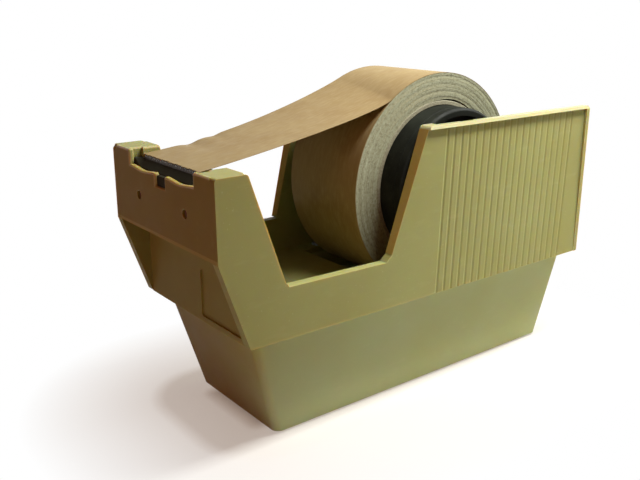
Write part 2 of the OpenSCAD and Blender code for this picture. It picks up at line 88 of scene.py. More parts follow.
def srgb(red: int, green: int, blue: int) -> Colour:
    """Turns a display colour into the linear one that the shaders take.

    Args:
        red: Red from 0 to 255.
        green: Green from 0 to 255.
        blue: Blue from 0 to 255.

    Returns:
        The linear colour, each part from 0 to 1.
    """
    parts = (value / 255 for value in (red, green, blue))
    return tuple(p / 12.92 if p <= 0.04045 else ((p + 0.055) / 1.055) ** 2.4 for p in parts)


@dataclass(frozen=True)
class Marks:
    """Soft marks on a finish: noise that shows from one level and is full at another.

    Attributes:
        patch: Size of the patches, in metres.
        detail: Number of finer layers.
        start: Level of the noise at which the marks start.
        full: Level at which they are full.
        most: Their strength where they are full.
        stretch: Factor along each axis; a small one draws the patches out.
    """

    patch: float
    detail: float
    start: float
    full: float
    most: float = 1.0
    stretch: Triple = (1, 1, 1)


class Slot(Enum):
    """Material slot names. No piece here takes its finish from them."""

    SHELL = "shell_plastic"
    BASE = "base_plastic"
    BLACK = "black_plastic"
    BLADE = "blade_steel"
    RIVET = "rivet"
    STEEL = "steel"
    TAPE = "tape"
    CORE = "core"


class Body(Enum):
    """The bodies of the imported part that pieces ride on."""

    HOUSING = "housing"
    SPINDLE = "spindle"
    ROLL = "roll"


class Number:
    """A number in a node tree. Python's operators on it add Math nodes."""

    def __init__(self, tree: "NodeTree", socket: Socket) -> None:
        """Keeps the number.

        Args:
            tree: The tree that it belongs to.
            socket: The output that gives it.
        """
        self.tree = tree
        self.socket = socket

    def __add__(self, other: "Number | float") -> "Number":
        """Adds another number."""
        return self.tree.maths("ADD", self, other)

    def __sub__(self, other: "Number | float") -> "Number":
        """Takes another number away."""
        return self.tree.maths("SUBTRACT", self, other)

    def __rsub__(self, other: float) -> "Number":
        """Takes this number away from another."""
        return self.tree.maths("SUBTRACT", other, self)

    def __mul__(self, other: "Number | float") -> "Number":
        """Multiplies by another number."""
        return self.tree.maths("MULTIPLY", self, other)

    def __truediv__(self, other: "Number | float") -> "Number":
        """Divides by another number."""
        return self.tree.maths("DIVIDE", self, other)

    def __pow__(self, power: float) -> "Number":
        """Raises to a power."""
        return self.tree.maths("POWER", self, power)

    def __gt__(self, limit: "Number | float") -> "Number":
        """Gives 1 where this number is above a limit and 0 elsewhere."""
        return self.tree.maths("GREATER_THAN", self, limit)


class NodeTree:
    """A node tree, with short calls that add nodes and join them."""

    def __init__(self, tree: bpy.types.NodeTree) -> None:
        """Takes the tree."""
        self.tree = tree

    def feed(self, socket: Socket, value: object) -> None:
        """Links what a value stands for to an input, or sets the input's own value.

        Args:
            socket: The input.
            value: A number of the tree, an output, a list of outputs, a colour or a plain value.
        """
        for item in value if isinstance(value, list) else [value]:
            plain = item.socket if isinstance(item, Number) else item
            if isinstance(plain, Socket):
                self.tree.links.new(plain, socket)
            else:
                socket.default_value = (*plain, 1.0) if socket.type == "RGBA" else plain

    def node(self, kind: str, settings: "dict[str, str] | None" = None, **inputs: object) -> bpy.types.Node:
        """Adds a node and feeds its inputs.

        Args:
            kind: The node's type name.
            settings: Properties to set on the node.
            **inputs: Values by input name, with underscores for spaces.

        Returns:
            The new node.
        """
        node = self.tree.nodes.new(kind)
        for key, value in (settings or {}).items():
            setattr(node, key, value)
        for key, value in inputs.items():
            wanted = key.replace("_", " ")
            self.feed(next(s for s in node.inputs if s.name == wanted and s.enabled), value)
        return node

    def add(self, kind: str, settings: "dict[str, str] | None" = None, **inputs: object) -> Socket:
        """Adds a node as node() does, and gives its first output."""
        return next(s for s in self.node(kind, settings, **inputs).outputs if s.enabled)

    def maths(self, operation: str, *values: "Number | Socket | float") -> Number:
        """Adds a Math node.

        Args:
            operation: Its operation, such as MULTIPLY.
            *values: Its values in order.

        Returns:
            The result.
        """
        node = self.node("ShaderNodeMath", {"operation": operation})
        for socket, value in zip(node.inputs, values):
            self.feed(socket, value)
        return Number(self, node.outputs[0])

    def vector(
        self, x: "Number | float" = 0.0, y: "Number | float" = 0.0, z: "Number | float" = 0.0
    ) -> Socket:
        """Joins three numbers to a vector."""
        return self.add("ShaderNodeCombineXYZ", X=x, Y=y, Z=z)

    def parts(self, vector: Socket) -> "list[Number]":
        """Splits a vector into its three numbers."""
        return [Number(self, socket) for socket in self.node("ShaderNodeSeparateXYZ", Vector=vector).outputs]

    def blend(self, share: Number, first: Socket, second: Socket) -> Socket:
        """Mixes two shaders.

        Args:
            share: Share of the second one.
            first: First shader.
            second: Second shader.

        Returns:
            The mixed shader.
        """
        node = self.node("ShaderNodeMixShader")
        for socket, value in zip(node.inputs, (share, first, second)):
            self.feed(socket, value)
        return node.outputs[0]


class Shader(NodeTree):
    """A material's node tree, with calls for what the finishes are made of."""

    def __init__(self, name: str) -> None:
        """Makes the material with one Principled shader.

        Args:
            name: Name of the material.
        """
        self.material = bpy.data.materials.new(name)
        self.material.use_nodes = True
        super().__init__(self.material.node_tree)
        self.bsdf = self.tree.nodes["Principled BSDF"]
        self.coords = self.node("ShaderNodeTexCoord").outputs["Object"]

    def set(self, **inputs: "Socket | float | Colour") -> None:
        """Feeds inputs of the Principled shader, named with underscores for spaces.

        Args:
            **inputs: Values by input name, such as base_color.
        """
        by_name = {s.name.lower().replace(" ", "_"): s for s in self.bsdf.inputs}
        for key, value in inputs.items():
            self.feed(by_name[key], value)

    def polar(self, axle: Vector, mean_r: float) -> Socket:
        """Gives coordinates round an axle along Y: radius, arc and width.

        Args:
            axle: A point on the axle.
            mean_r: Radius at which the arc has its true length, in metres.

        Returns:
            The coordinates. The arc's seam is straight below the axle.
        """
        shift = (-axle.x, 0, -axle.z)
        ahead, width, up = self.parts(self.add("ShaderNodeMapping", Vector=self.coords, Location=shift))
        radius = self.maths("SQRT", ahead**2.0 + up**2.0)
        return self.vector(radius, self.maths("ARCTAN2", ahead, up) * mean_r, width)

    def noise(
        self, size: float, detail: float = 2, stretch: Triple = (1, 1, 1), coords: "Socket | None" = None
    ) -> Socket:
        """Adds soft noise.

        Args:
            size: Size of its patches, in metres.
            detail: Number of finer layers.
            stretch: Factor along each axis; a small one draws the patches out.
            coords: Coordinates to use in place of the object's own.

        Returns:
            The noise's value, from about 0.2 to 0.8.
        """
        place = self.add("ShaderNodeMapping", Vector=coords or self.coords, Scale=stretch)
        return self.add("ShaderNodeTexNoise", Vector=place, Scale=1 / size, Detail=detail)

    def remap(
        self, value: Socket, low: float, high: float, to_low: float = 0, to_high: float = 1
    ) -> Socket:
        """Maps a range of a value to another range and clamps it.

        Args:
            value: The value.
            low: Where the range starts.
            high: Where it ends.
            to_low: Result at the start.
            to_high: Result at the end.

        Returns:
            The mapped value.
        """
        target = {"To_Min": to_low, "To_Max": to_high}
        return self.add("ShaderNodeMapRange", Value=value, From_Min=low, From_Max=high, **target)

    def marks(self, marks: Marks, coords: "Socket | None" = None) -> Socket:
        """Adds soft marks and gives their strength at each point."""
        noise = self.noise(marks.patch, marks.detail, marks.stretch, coords)
        return self.remap(noise, marks.start, marks.full, 0, marks.most)

    def uneven(self, noise: Socket, level: float, spread: Span) -> Socket:
        """Lets a roughness fall and rise from its level by a spread, with noise."""
        fall, rise = spread
        return self.remap(noise, *NOISE_SPAN, level + fall, level + rise)

    def mix(self, share: "Number | Socket", first: "Socket | Colour", second: "Socket | Colour") -> Socket:
        """Mixes two colours by the share of the second one."""
        return self.add("ShaderNodeMix", {"data_type": "RGBA"}, Factor=share, A=first, B=second)

    def bump(self, height: Socket, depth: float, strength: float, **under: Socket) -> Socket:
        """Turns a height into a bump.

        Args:
            height: The height, from 0 to 1.
            depth: What 1 stands for, in metres.
            strength: Share of the bump that is used.
            **under: As Normal, another bump that this one lies on.

        Returns:
            The normal.
        """
        return self.add("ShaderNodeBump", Height=height, Distance=depth, Strength=strength, **under)

    def attribute(self, name: str) -> Socket:
        """Gives a number that the mesh carries under a name."""
        return self.node("ShaderNodeAttribute", {"attribute_name": name}).outputs["Fac"]


@dataclass(frozen=True)
class Finish:
    """A finish that can be made a material."""

    name: str
    colour: Colour

    def paint(self, shader: Shader) -> None:
        """Sets up the shader, in each finish's own way."""
        raise NotImplementedError

    def material(self) -> bpy.types.Material:
        """Makes the material.

        Returns:
            The finished material.
        """
        shader = Shader(self.name)
        self.paint(shader)
        return shader.material


@dataclass(frozen=True)
class MouldedPlastic(Finish):
    """Satin injection-moulded plastic with age marks, fine grain and specks of dust."""

    aged: Colour
    roughness: float = 0.4
    gloss: float = 0.02
    dust: Colour = srgb(192, 188, 142)
    spread: Span = (-0.06, 0.09)
    age: Marks = Marks(60 * MM, 3, 0.38, 0.66)
    scuffs: Marks = Marks(4 * MM, 4, 0.58, 0.78, 0.12, (0.3, 1, 1))
    specks: Marks = Marks(0.9 * MM, 1, 0.72, 0.78, 0.3)
    blotch: float = 8 * MM
    grain: float = 0.5 * MM
    wave: float = 35 * MM
    glow: float = 0.5
    glow_depth: float = 4 * MM
    glow_tint: Colour = (1.0, 0.42, 0.08)

    def paint(self, shader: Shader) -> None:
        """Paints the plastic.

        Args:
            shader: The material's shader.
        """
        colour = shader.mix(shader.marks(self.age), self.colour, self.aged)
        for marks in (self.scuffs, self.specks):
            colour = shader.mix(shader.marks(marks), colour, self.dust)
        waves = shader.bump(shader.noise(self.wave, detail=0), depth=0.25 * MM, strength=0.5)
        grain = shader.noise(self.grain)
        shader.set(
            base_color=colour,
            roughness=shader.uneven(shader.noise(self.blotch, detail=3), self.roughness, self.spread),
            normal=shader.bump(grain, depth=0.05 * MM, strength=0.35, Normal=waves),
            specular_ior_level=self.gloss,
            subsurface_weight=self.glow,
            subsurface_scale=self.glow_depth,
            subsurface_radius=self.glow_tint,
        )


@dataclass(frozen=True)
class BlackPlastic(Finish):
    """Matt black plastic with faint turning marks round the hub and dust."""

    dust: Colour
    roughness: float
    gloss: float
    spread: Span = (-0.07, 0.1)
    film: Marks = Marks(14 * MM, 4, 0.42, 0.75, 0.35)
    specks: Marks = Marks(0.7 * MM, 1, 0.70, 0.77, 0.6)
    blotch: float = 9 * MM
    turning: float = 0.6 * MM

    def paint(self, shader: Shader) -> None:
        """Paints the plastic.

        Args:
            shader: The material's shader.
        """
        colour = self.colour
        for marks in (self.film, self.specks):
            colour = shader.mix(shader.marks(marks), colour, self.dust)
        turned = shader.noise(self.turning, stretch=(0.05, 1, 0.05))
        shader.set(
            base_color=colour,
            roughness=shader.uneven(shader.noise(self.blotch, detail=3), self.roughness, self.spread),
            normal=shader.bump(turned, depth=0.03 * MM, strength=0.4),
            specular_ior_level=self.gloss,
        )


@dataclass(frozen=True)
class KraftTape(Finish):
    """Smooth backing of brown packing tape: paper fibres under a thin coat."""

    deep: Colour
    pale: Colour
    roughness: float = 0.4
    gloss: float = 0.05
    spread: Span = (0, 0.15)
    cloud: Marks = Marks(22 * MM, 3, 0.34, 0.68)
    fibre: Marks = Marks(1.3 * MM, 4, 0.45, 0.72, 0.5, (0.25, 1, 0.25))
    blotch: float = 5 * MM
    crease: float = 16 * MM

    def paint(self, shader: Shader) -> None:
        """Paints the tape.

        Args:
            shader: The material's shader.
        """
        clouded = shader.mix(shader.marks(self.cloud), self.colour, self.deep)
        creases = shader.noise(self.crease, stretch=(1, 0.35, 1))
        shader.set(
            base_color=shader.mix(shader.marks(self.fibre), clouded, self.pale),
            roughness=shader.uneven(shader.noise(self.blotch, detail=3), self.roughness, self.spread),
            normal=shader.bump(creases, depth=0.35 * MM, strength=0.5),
            specular_ior_level=self.gloss,
        )


@dataclass(frozen=True)
class WoundEdges(Finish):
    """Cut edges of the wound layers: grey-brown, each layer with its own tone and dirt."""

    dark: Colour
    pale: Colour
    axle: Vector
    mean_r: float = 46 * MM
    toned: Triple = (0.6, 1, 0.12)
    rings: Marks = Marks(0.9 * MM, 2, 0.58, 0.72, 0.25, (1, 0.02, 0.2))
    dirt: Marks = Marks(1.2 * MM, 2, 0.48, 0.66, 0.5, (1, 0.7, 1))
    fleck: Marks = Marks(1.0 * MM, 1, 0.56, 0.68, 0.45)
    full_dirt: float = 0.4
    roughness: Span = (0.62, 0.8)
    fibre: float = 0.5 * MM

    def paint(self, shader: Shader) -> None:
        """Paints the wound edges.

        Args:
            shader: The material's shader.
        """
        round_hub = shader.polar(self.axle, self.mean_r)
        start, full, most = self.toned
        tone = shader.remap(shader.attribute(TONE), start, full, 0, most)
        dirt = shader.marks(self.dirt, round_hub)
        colour = self.colour
        for marks in (tone, shader.marks(self.rings, round_hub), dirt):
            colour = shader.mix(marks, colour, self.dark)
        shader.set(
            base_color=shader.mix(shader.marks(self.fleck), colour, self.pale),
            roughness=shader.remap(dirt, 0, self.full_dirt, *self.roughness),
            normal=shader.bump(shader.noise(self.fibre), depth=0.08 * MM, strength=0.6),
        )


@dataclass(frozen=True)
class Cardboard(Finish):
    """Pressed paper board of the roll's core, with the fibres of its plies."""

    shade: Colour
    fibre: Marks = Marks(0.8 * MM, 4, 0.38, 0.7)
    roughness: Span = (0.72, 0.86)

    def paint(self, shader: Shader) -> None:
        """Paints the board.

        Args:
            shader: The material's shader.
        """
        fibre = shader.marks(self.fibre)
        shader.set(
            base_color=shader.mix(fibre, self.colour, self.shade),
            roughness=shader.remap(fibre, 0, 1, *self.roughness),
            normal=shader.bump(fibre, depth=0.12 * MM, strength=0.6),
        )


@dataclass(frozen=True)
class Metal(Finish):
    """Drawn or ground metal with fine marks along one axis and a little dirt."""

    soiled: Colour
    roughness: float
    stretch: Triple = (1, 0.06, 1)
    metallic: float = 1.0
    spread: Span = (-0.08, 0.12)
    grain: float = 0.35 * MM
    dirt: Marks = Marks(2.5 * MM, 4, 0.52, 0.74, 0.7)

    def paint(self, shader: Shader) -> None:
        """Paints the metal.

        Args:
            shader: The material's shader.
        """
        grain = shader.noise(self.grain, detail=3, stretch=self.stretch)
        shader.set(
            base_color=shader.mix(shader.marks(self.dirt), self.colour, self.soiled),
            metallic=self.metallic,
            roughness=shader.uneven(grain, self.roughness, self.spread),
            normal=shader.bump(grain, depth=0.02 * MM, strength=0.5),
        )


@dataclass(frozen=True)
class Grainy(Finish):
    """Dull grainy stuff: rubber feet or the cast ballast."""

    fleck: Colour
    grain: float
    flecks: Span = (0.4, 0.7)
    roughness: float = 0.85
    spread: Span = (-0.1, 0.08)

    def paint(self, shader: Shader) -> None:
        """Paints the grainy stuff.

        Args:
            shader: The material's shader.
        """
        grain = shader.noise(self.grain, detail=4)
        shader.set(
            base_color=shader.mix(shader.remap(grain, *self.flecks), self.colour, self.fleck),
            roughness=shader.uneven(grain, self.roughness, self.spread),
            normal=shader.bump(grain, depth=self.grain / 4, strength=0.6),
        )


def middle_of(node: str) -> Vector:
    """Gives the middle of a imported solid's box."""
    low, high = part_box(node)
    return (low + high) / 2


class Finishes:
    """Every finish on the dispenser, each made once."""

    def __init__(self) -> None:
        """Makes the materials."""
        self.shell = MouldedPlastic("olive_shell", srgb(155, 154, 101), srgb(150, 146, 92)).material()
        # The shell's rounded edges: a paler colour paints the highlight along them, with some real gloss.
        self.edge = MouldedPlastic(
            "olive_edge", srgb(178, 172, 117), srgb(172, 164, 109), roughness=0.36, gloss=0.2
        ).material()
        # The panels' top lip: partly real gloss, partly a paler colour that paints the highlight of the
        # light from above.
        self.lip = MouldedPlastic(
            "olive_lip", srgb(172, 169, 126), srgb(166, 162, 116), roughness=0.34, gloss=0.5
        ).material()
        # Thin wall ends and the wavy lip's top: amber paints the glow of light through the plastic.
        self.rim = MouldedPlastic("amber_rim", srgb(181, 164, 98), srgb(173, 154, 90)).material()
        # Band along the front's lower edge: a paler colour paints the highlight that the edge catches.
        self.crease = MouldedPlastic("worn_crease", srgb(178, 178, 126), srgb(172, 170, 116)).material()
        # The panel set back under the head: a paler, greener colour paints the light that falls on it.
        self.toe = MouldedPlastic("olive_toe", srgb(160, 171, 120), srgb(156, 164, 112)).material()
        self.base = MouldedPlastic("olive_base", srgb(168, 172, 127), srgb(164, 165, 115)).material()
        self.nylon = MouldedPlastic(
            "nylon_bush", srgb(222, 217, 200), srgb(206, 200, 180), dust=srgb(235, 230, 215)
        ).material()
        self.black = BlackPlastic(
            "black_hub", srgb(23, 25, 21), srgb(60, 64, 55), roughness=0.55, gloss=0.08
        ).material()
        self.holder = BlackPlastic(
            "black_holder", srgb(50, 51, 42), srgb(64, 56, 42), roughness=0.75, gloss=0.03
        ).material()
        self.rivet = BlackPlastic(
            "dark_rivet", srgb(84, 46, 26), srgb(104, 66, 40), roughness=0.55, gloss=0.15
        ).material()
        self.blade = Metal(
            "blackened_blade",
            srgb(34, 23, 18),
            srgb(54, 27, 16),
            roughness=0.6,
            stretch=(1, 1, 0.08),
            metallic=0.15,
        ).material()
        self.steel = Metal("zinc_steel", srgb(196, 198, 200), srgb(120, 112, 98), roughness=0.34).material()
        self.rubber = Grainy("rubber_foot", srgb(38, 38, 38), srgb(58, 57, 55), 0.6 * MM).material()
        self.ballast = Grainy("cast_ballast", srgb(132, 131, 126), srgb(98, 97, 94), 2.5 * MM).material()
        self.tape = KraftTape(
            "kraft_tape", srgb(159, 138, 98), deep=srgb(150, 127, 88), pale=srgb(173, 153, 114)
        ).material()
        self.wound = WoundEdges(
            "wound_edges",
            srgb(167, 169, 141),
            dark=srgb(116, 115, 90),
            pale=srgb(188, 190, 165),
            axle=middle_of("tape_roll"),
        ).material()
        self.core = Cardboard("core_board", srgb(164, 160, 136), srgb(132, 127, 104)).material()


class GeometryTree(NodeTree):
    """A Geometry Nodes tree with named inputs that is worked out to a plain mesh."""

    def __init__(self, name: str) -> None:
        """Makes a tree with one geometry output.

        Args:
            name: Name of the tree.
        """
        super().__init__(bpy.data.node_groups.new(name, "GeometryNodeTree"))
        self.name = name
        self.tree.interface.new_socket("Geometry", in_out="OUTPUT", socket_type="NodeSocketGeometry")
        self.inputs = self.tree.nodes.new("NodeGroupInput")
        self.output = self.tree.nodes.new("NodeGroupOutput")
        self.values: dict[str, float] = {}

    def size(self, name: str, value: "float | int") -> Number:
        """Adds a named input for a size or a count.

        Args:
            name: The input's name.
            value: Its value for this piece.

        Returns:
            The size inside the tree.
        """
        kind = "NodeSocketInt" if isinstance(value, int) else "NodeSocketFloat"
        item = self.tree.interface.new_socket(name, in_out="INPUT", socket_type=kind)
        self.values[item.identifier] = value
        return Number(self, self.inputs.outputs[name])

    def place(self) -> "list[Number]":
        """Gives the three coordinates of each point."""
        return self.parts(self.add("GeometryNodeInputPosition"))

    def chance(self, most: float, seed: int, **identity: Number) -> Number:
        """Draws a random number from 0 up for each point.

        Args:
            most: The largest number.
            seed: The fixed seed.
            **identity: As ID, what the draw goes by in place of the point's own number.

        Returns:
            The random number.
        """
        kind = {"data_type": "FLOAT"}
        draw = self.add("FunctionNodeRandomValue", kind, Min=0.0, Max=most, Seed=seed, **identity)
        return Number(self, draw)

    def rod(self, points: int, radius: Number, length: Number, bands: int = 1, rings: int = 1) -> Socket:
        """Makes an upright rod, with bands along its side and rings on its ends."""
        sizes = {"Vertices": points, "Radius": radius, "Depth": length}
        return self.add("GeometryNodeMeshCylinder", Side_Segments=bands, Fill_Segments=rings, **sizes)

    def shift(self, geometry: Socket, to: "Socket | Triple", turn: Triple = (0, 0, 0)) -> Socket:
        """Turns a geometry and moves it."""
        return self.add("GeometryNodeTransform", Geometry=geometry, Translation=to, Rotation=turn)

    def bend(self, geometry: Socket, **move: Socket) -> Socket:
        """Moves each point of a geometry to a Position or by an Offset."""
        return self.add("GeometryNodeSetPosition", Geometry=geometry, **move)

    def join(self, *parts: Socket) -> Socket:
        """Joins geometries."""
        return self.add("GeometryNodeJoinGeometry", Geometry=[*parts])

    def mesh(self, geometry: Socket, material: bpy.types.Material) -> bpy.types.Object:
        """Ends the tree, works it out and keeps the result as a plain mesh object.

        Args:
            geometry: The tree's last geometry.
            material: Material of the piece.

        Returns:
            The new object, with no modifier on it.
        """
        real = self.add("GeometryNodeRealizeInstances", Geometry=geometry)
        dressed = self.add("GeometryNodeSetMaterial", Geometry=real, Material=material)
        self.tree.links.new(dressed, self.output.inputs[0])
        holder = link_up(self.name, bpy.data.meshes.new(self.name))
        modifier = holder.modifiers.new(self.name, "NODES")
        modifier.node_group = self.tree
        for identifier, value in self.values.items():
            modifier[identifier] = value
        return settle(holder)


def link_up(name: str, data: bpy.types.ID) -> bpy.types.Object:
    """Makes an object of a mesh, lamp or camera and puts it in the scene.

    Args:
        name: Name of the object.
        data: What it shows.

    Returns:
        The new object.
    """
    obj = bpy.data.objects.new(name, data)
    bpy.context.scene.collection.objects.link(obj)
    return obj


def face_outwards(mesh: bpy.types.Mesh) -> None:
    """Turns a mesh's faces so that all of them point the same way, outwards where it is closed.

    Args:
        mesh: The mesh.
    """
    form = bmesh.new()
    form.from_mesh(mesh)
    bmesh.ops.recalc_face_normals(form, faces=form.faces)
    form.to_mesh(mesh)
    form.free()


def settle(obj: bpy.types.Object) -> bpy.types.Object:
    """Works out an object's modifiers and keeps the result as its plain mesh.

    Args:
        obj: The object with its modifiers.

    Returns:
        The same object, with its result as its mesh and no modifier.
    """
    graph = bpy.context.evaluated_depsgraph_get()
    mesh = bpy.data.meshes.new_from_object(obj.evaluated_get(graph), depsgraph=graph)
    obj.modifiers.clear()
    old = obj.data
    obj.data = mesh
    bpy.data.meshes.remove(old)
    return obj


def smooth(mesh: bpy.types.Mesh, angle: float = 32) -> None:
    """Shades a mesh smoothly, apart from its sharp edges.

    Args:
        mesh: The mesh.
        angle: Edges that turn by more degrees than this stay sharp.
    """
    mesh.polygons.foreach_set("use_smooth", [True] * len(mesh.polygons))
    mesh.set_sharp_from_angle(angle=math.radians(angle))
    mesh.update()


def flatten_normals(mesh: bpy.types.Mesh, strip: int, at_strip: float = 40, elsewhere: float = 16) -> None:
    """Shades rounded edges smoothly and leaves the large faces between them flat.

    Args:
        mesh: The mesh.
        strip: Material index of the rounded edges' faces.
        at_strip: Largest angle in degrees at which a rounded edge shares a face's shading.
        elsewhere: Largest angle in degrees at which other faces share their shading.
    """
    wide, narrow = (math.cos(math.radians(angle)) for angle in (at_strip, elsewhere))
    faces_at: "list[list[bpy.types.MeshPolygon]]" = [[] for _ in mesh.vertices]
    for face in mesh.polygons:
        for corner in face.vertices:
            faces_at[corner].append(face)
    normals = []
    for face in mesh.polygons:
        own = face.normal.copy()
        for corner in face.vertices:
            near = [
                (f.normal, f.area)
                for f in faces_at[corner]
                if f.normal.dot(own) > (wide if strip in (f.material_index, face.material_index) else narrow)
            ]
            most = max((area for _, area in near), default=1.0) or 1.0
            total = sum((normal * (area / most) ** 2 for normal, area in near), Vector())
            normals.append(total.normalized() if total.length > 0 else own)
    mesh.polygons.foreach_set("use_smooth", [True] * len(mesh.polygons))
    mesh.normals_split_custom_set(normals)
    mesh.update()


def reach(edge: bmesh.types.BMEdge) -> float:
    """Gives how far an edge can be rounded before it meets what lies beside it.

    Args:
        edge: The edge.

    Returns:
        The largest radius, in metres.
    """
    start, end = (vert.co for vert in edge.verts)
    way = (end - start).normalized()
    limits = []
    for loop in edge.link_loops:
        depth = max((v.co - start - way * way.dot(v.co - start)).length for v in loop.face.verts)
        turns = 0.0
        for near in (loop, loop.link_loop_next):
            turn = math.pi - near.calc_angle() if near.is_convex else 0.0
            turns += math.tan(min(turn, STEEPEST_TURN) / 2)
        limits.append(FACE_SHARE * depth)
        limits.append(LENGTH_SHARE * edge.calc_length() / max(turns, LEAST_TURN))
    for vert in edge.verts:
        for other in vert.link_edges:
            side = (other.other_vert(vert).co - vert.co).normalized()
            if other is not edge and abs(side.dot(way)) < RUNS_ASIDE:
                limits.append(SIDE_SHARE * other.calc_length())
    return min(limits)


def share_radius(
    form: bmesh.types.BMesh, radius: float, where: Callable[[Vector], bool], sharp: float = 28
) -> None:
    """Gives each sharp outer edge the share of a radius that there is room for.

    Edges that run on into each other smoothly get the same share.

    Args:
        form: The solid.
        radius: The full radius, in metres.
        where: Tells whether edges with both ends at such points are rounded.
        sharp: Edges that turn by fewer degrees than this get none.
    """
    share = form.edges.layers.float.new("bevel_weight_edge")
    room = {
        edge: min(radius, reach(edge))
        for edge in form.edges
        if len(edge.link_faces) == 2
        and edge.calc_face_angle_signed(0) > math.radians(sharp)
        and all(where(vert.co) for vert in edge.verts)
    }
    waiting = set(room)
    while waiting:
        chain = [waiting.pop()]
        for edge in chain:
            way = (edge.verts[1].co - edge.verts[0].co).normalized()
            for other in {e for vert in edge.verts for e in vert.link_edges} & waiting:
                if abs(way.dot((other.verts[1].co - other.verts[0].co).normalized())) > RUNS_ON:
                    waiting.discard(other)
                    chain.append(other)
        least = min(room[edge] for edge in chain)
        for edge in chain:
            edge[share] = least / radius


def anywhere(point: Vector) -> bool:
    """Takes every point."""
    return True


def split(form: bmesh.types.BMesh, parts: list, point: Vector, normal: Vector) -> None:
    """Cuts edges into a solid's faces where a plane crosses them.

    Args:
        form: The solid.
        parts: The points, edges and faces to cut.
        point: A point of the plane.
        normal: The plane's normal.
    """
    bmesh.ops.bisect_plane(form, geom=parts, dist=SNAP, plane_co=point, plane_no=normal)


def softened(
    node: str,
    name: str,
    radius: float,
    material: bpy.types.Material,
    edge_material: "bpy.types.Material | None" = None,
    where: Callable[[Vector], bool] = anywhere,
    reshape: "Callable[[bmesh.types.BMesh], None] | None" = None,
) -> bpy.types.Object:
    """Copies a solid and rounds its edges.

    Args:
        node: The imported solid.
        name: Name of the new piece.
        radius: Radius of the rounded edges, in metres.
        material: The faces' material.
        edge_material: The rounded edges' material, if it is another.
        where: Tells which points' edges are rounded.
        reshape: Works on the copy before its edges are rounded.

    Returns:
        The new piece.
    """
    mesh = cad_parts[node].data.copy()
    mesh.name = name
    mesh.materials.clear()
    form = bmesh.new()
    form.from_mesh(mesh)
    bmesh.ops.remove_doubles(form, verts=form.verts, dist=WELD)
    bmesh.ops.dissolve_limit(
        form, angle_limit=math.radians(FLAT_TURN), verts=form.verts, edges=form.edges
    )
    for face in form.faces:
        face.material_index = 0
    if reshape is not None:
        reshape(form)
        form.normal_update()
    share_radius(form, radius, where)
    form.to_mesh(mesh)
    form.free()
    for finish in (material, edge_material or material):
        mesh.materials.append(finish)
    piece = link_up(name, mesh)
    bevel = piece.modifiers.new("edges", "BEVEL")
    bevel.width = radius
    bevel.segments = EDGE_STEPS
    bevel.limit_method = "WEIGHT"
    bevel.use_clamp_overlap = False
    bevel.material = 1
    settle(piece)
    flatten_normals(piece.data, strip=1)
    return piece


def seat(piece: bpy.types.Object, body: Body, node: str) -> None:
    """Puts a finished piece on its body, in place of its solid.

    Args:
        piece: The piece.
        body: The body that it rides on.
        node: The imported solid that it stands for.
    """
    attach(piece, body.value)
    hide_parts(node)
    LOG.info("%s: %d faces on %s", piece.name, len(piece.data.polygons), body.value)


def dress(material: bpy.types.Material, *nodes: str) -> None:
    """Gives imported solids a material.

    Args:
        material: The material.
        *nodes: The solids.
    """
    for node in nodes:
        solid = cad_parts[node]
        solid.data.materials.clear()
        solid.data.materials.append(material)
        LOG.info("%s: dressed as %s", node, material.name)


@dataclass(frozen=True)
class CrossScrews:
    """Four pan-head screws with cross recesses, at the corners of a rectangle."""

    material: bpy.types.Material
    head_r: float = 2.9 * MM
    head_h: float = 1.3 * MM
    shank_r: float = 1.6 * MM
    dome: float = 0.45
    recess_length: float = 1.24
    recess_width: float = 0.24
    seed: int = 7

    def build(self, node: str, up: bool) -> bpy.types.Object:
        """Makes the screws in the place of packed ones.

        Args:
            node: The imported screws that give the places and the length.
            up: Whether the heads face upwards.

        Returns:
            The four screws as one piece.
        """
        low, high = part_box(node)
        size = high - low
        tree = GeometryTree(f"{node}_set")
        radius = tree.size("Head Radius", self.head_r)
        height = tree.size("Head Height", self.head_h)
        head = tree.rod(40, radius, height, bands=3, rings=4)
        x, y, z = tree.place()
        out = tree.maths("SQRT", x**2.0 + y**2.0) / radius
        drop = out**4.0 * (height * -self.dome)
        head = tree.bend(head, Offset=tree.vector(z=drop * (z > 0.0)))
        head = tree.shift(head, tree.vector(z=height * 0.5))
        bars = []
        for turn in (0.0, math.pi / 2):
            bar = tree.vector(radius * self.recess_length, radius * self.recess_width, height)
            cube = tree.add("GeometryNodeMeshCube", Size=bar)
            bars.append(tree.shift(cube, tree.vector(z=height), (0, 0, turn)))
        head = tree.add("GeometryNodeMeshBoolean", {"operation": "DIFFERENCE"}, Mesh_1=head, Mesh_2=bars)
        length = tree.size("Shank Length", size.z - self.head_h)
        shank_r = tree.size("Shank Radius", self.shank_r)
        shank = tree.shift(tree.rod(24, shank_r, length), tree.vector(z=length * -0.5))
        corners = tree.add(
            "GeometryNodeMeshGrid",
            Size_X=tree.size("Spacing X", size.x - 2 * self.head_r),
            Size_Y=tree.size("Spacing Y", size.y - 2 * self.head_r),
            Vertices_X=2,
            Vertices_Y=2,
        )
        screws = tree.add(
            "GeometryNodeInstanceOnPoints",
            Points=corners,
            Instance=tree.join(head, shank),
            Rotation=tree.vector(0.0 if up else math.pi, 0.0, tree.chance(math.pi / 2, self.seed)),
        )
        middle = middle_of(node)
        under_head = high.z - self.head_h if up else low.z + self.head_h
        piece = tree.mesh(tree.shift(screws, (middle.x, middle.y, under_head)), self.material)
        smooth(piece.data)
        return piece


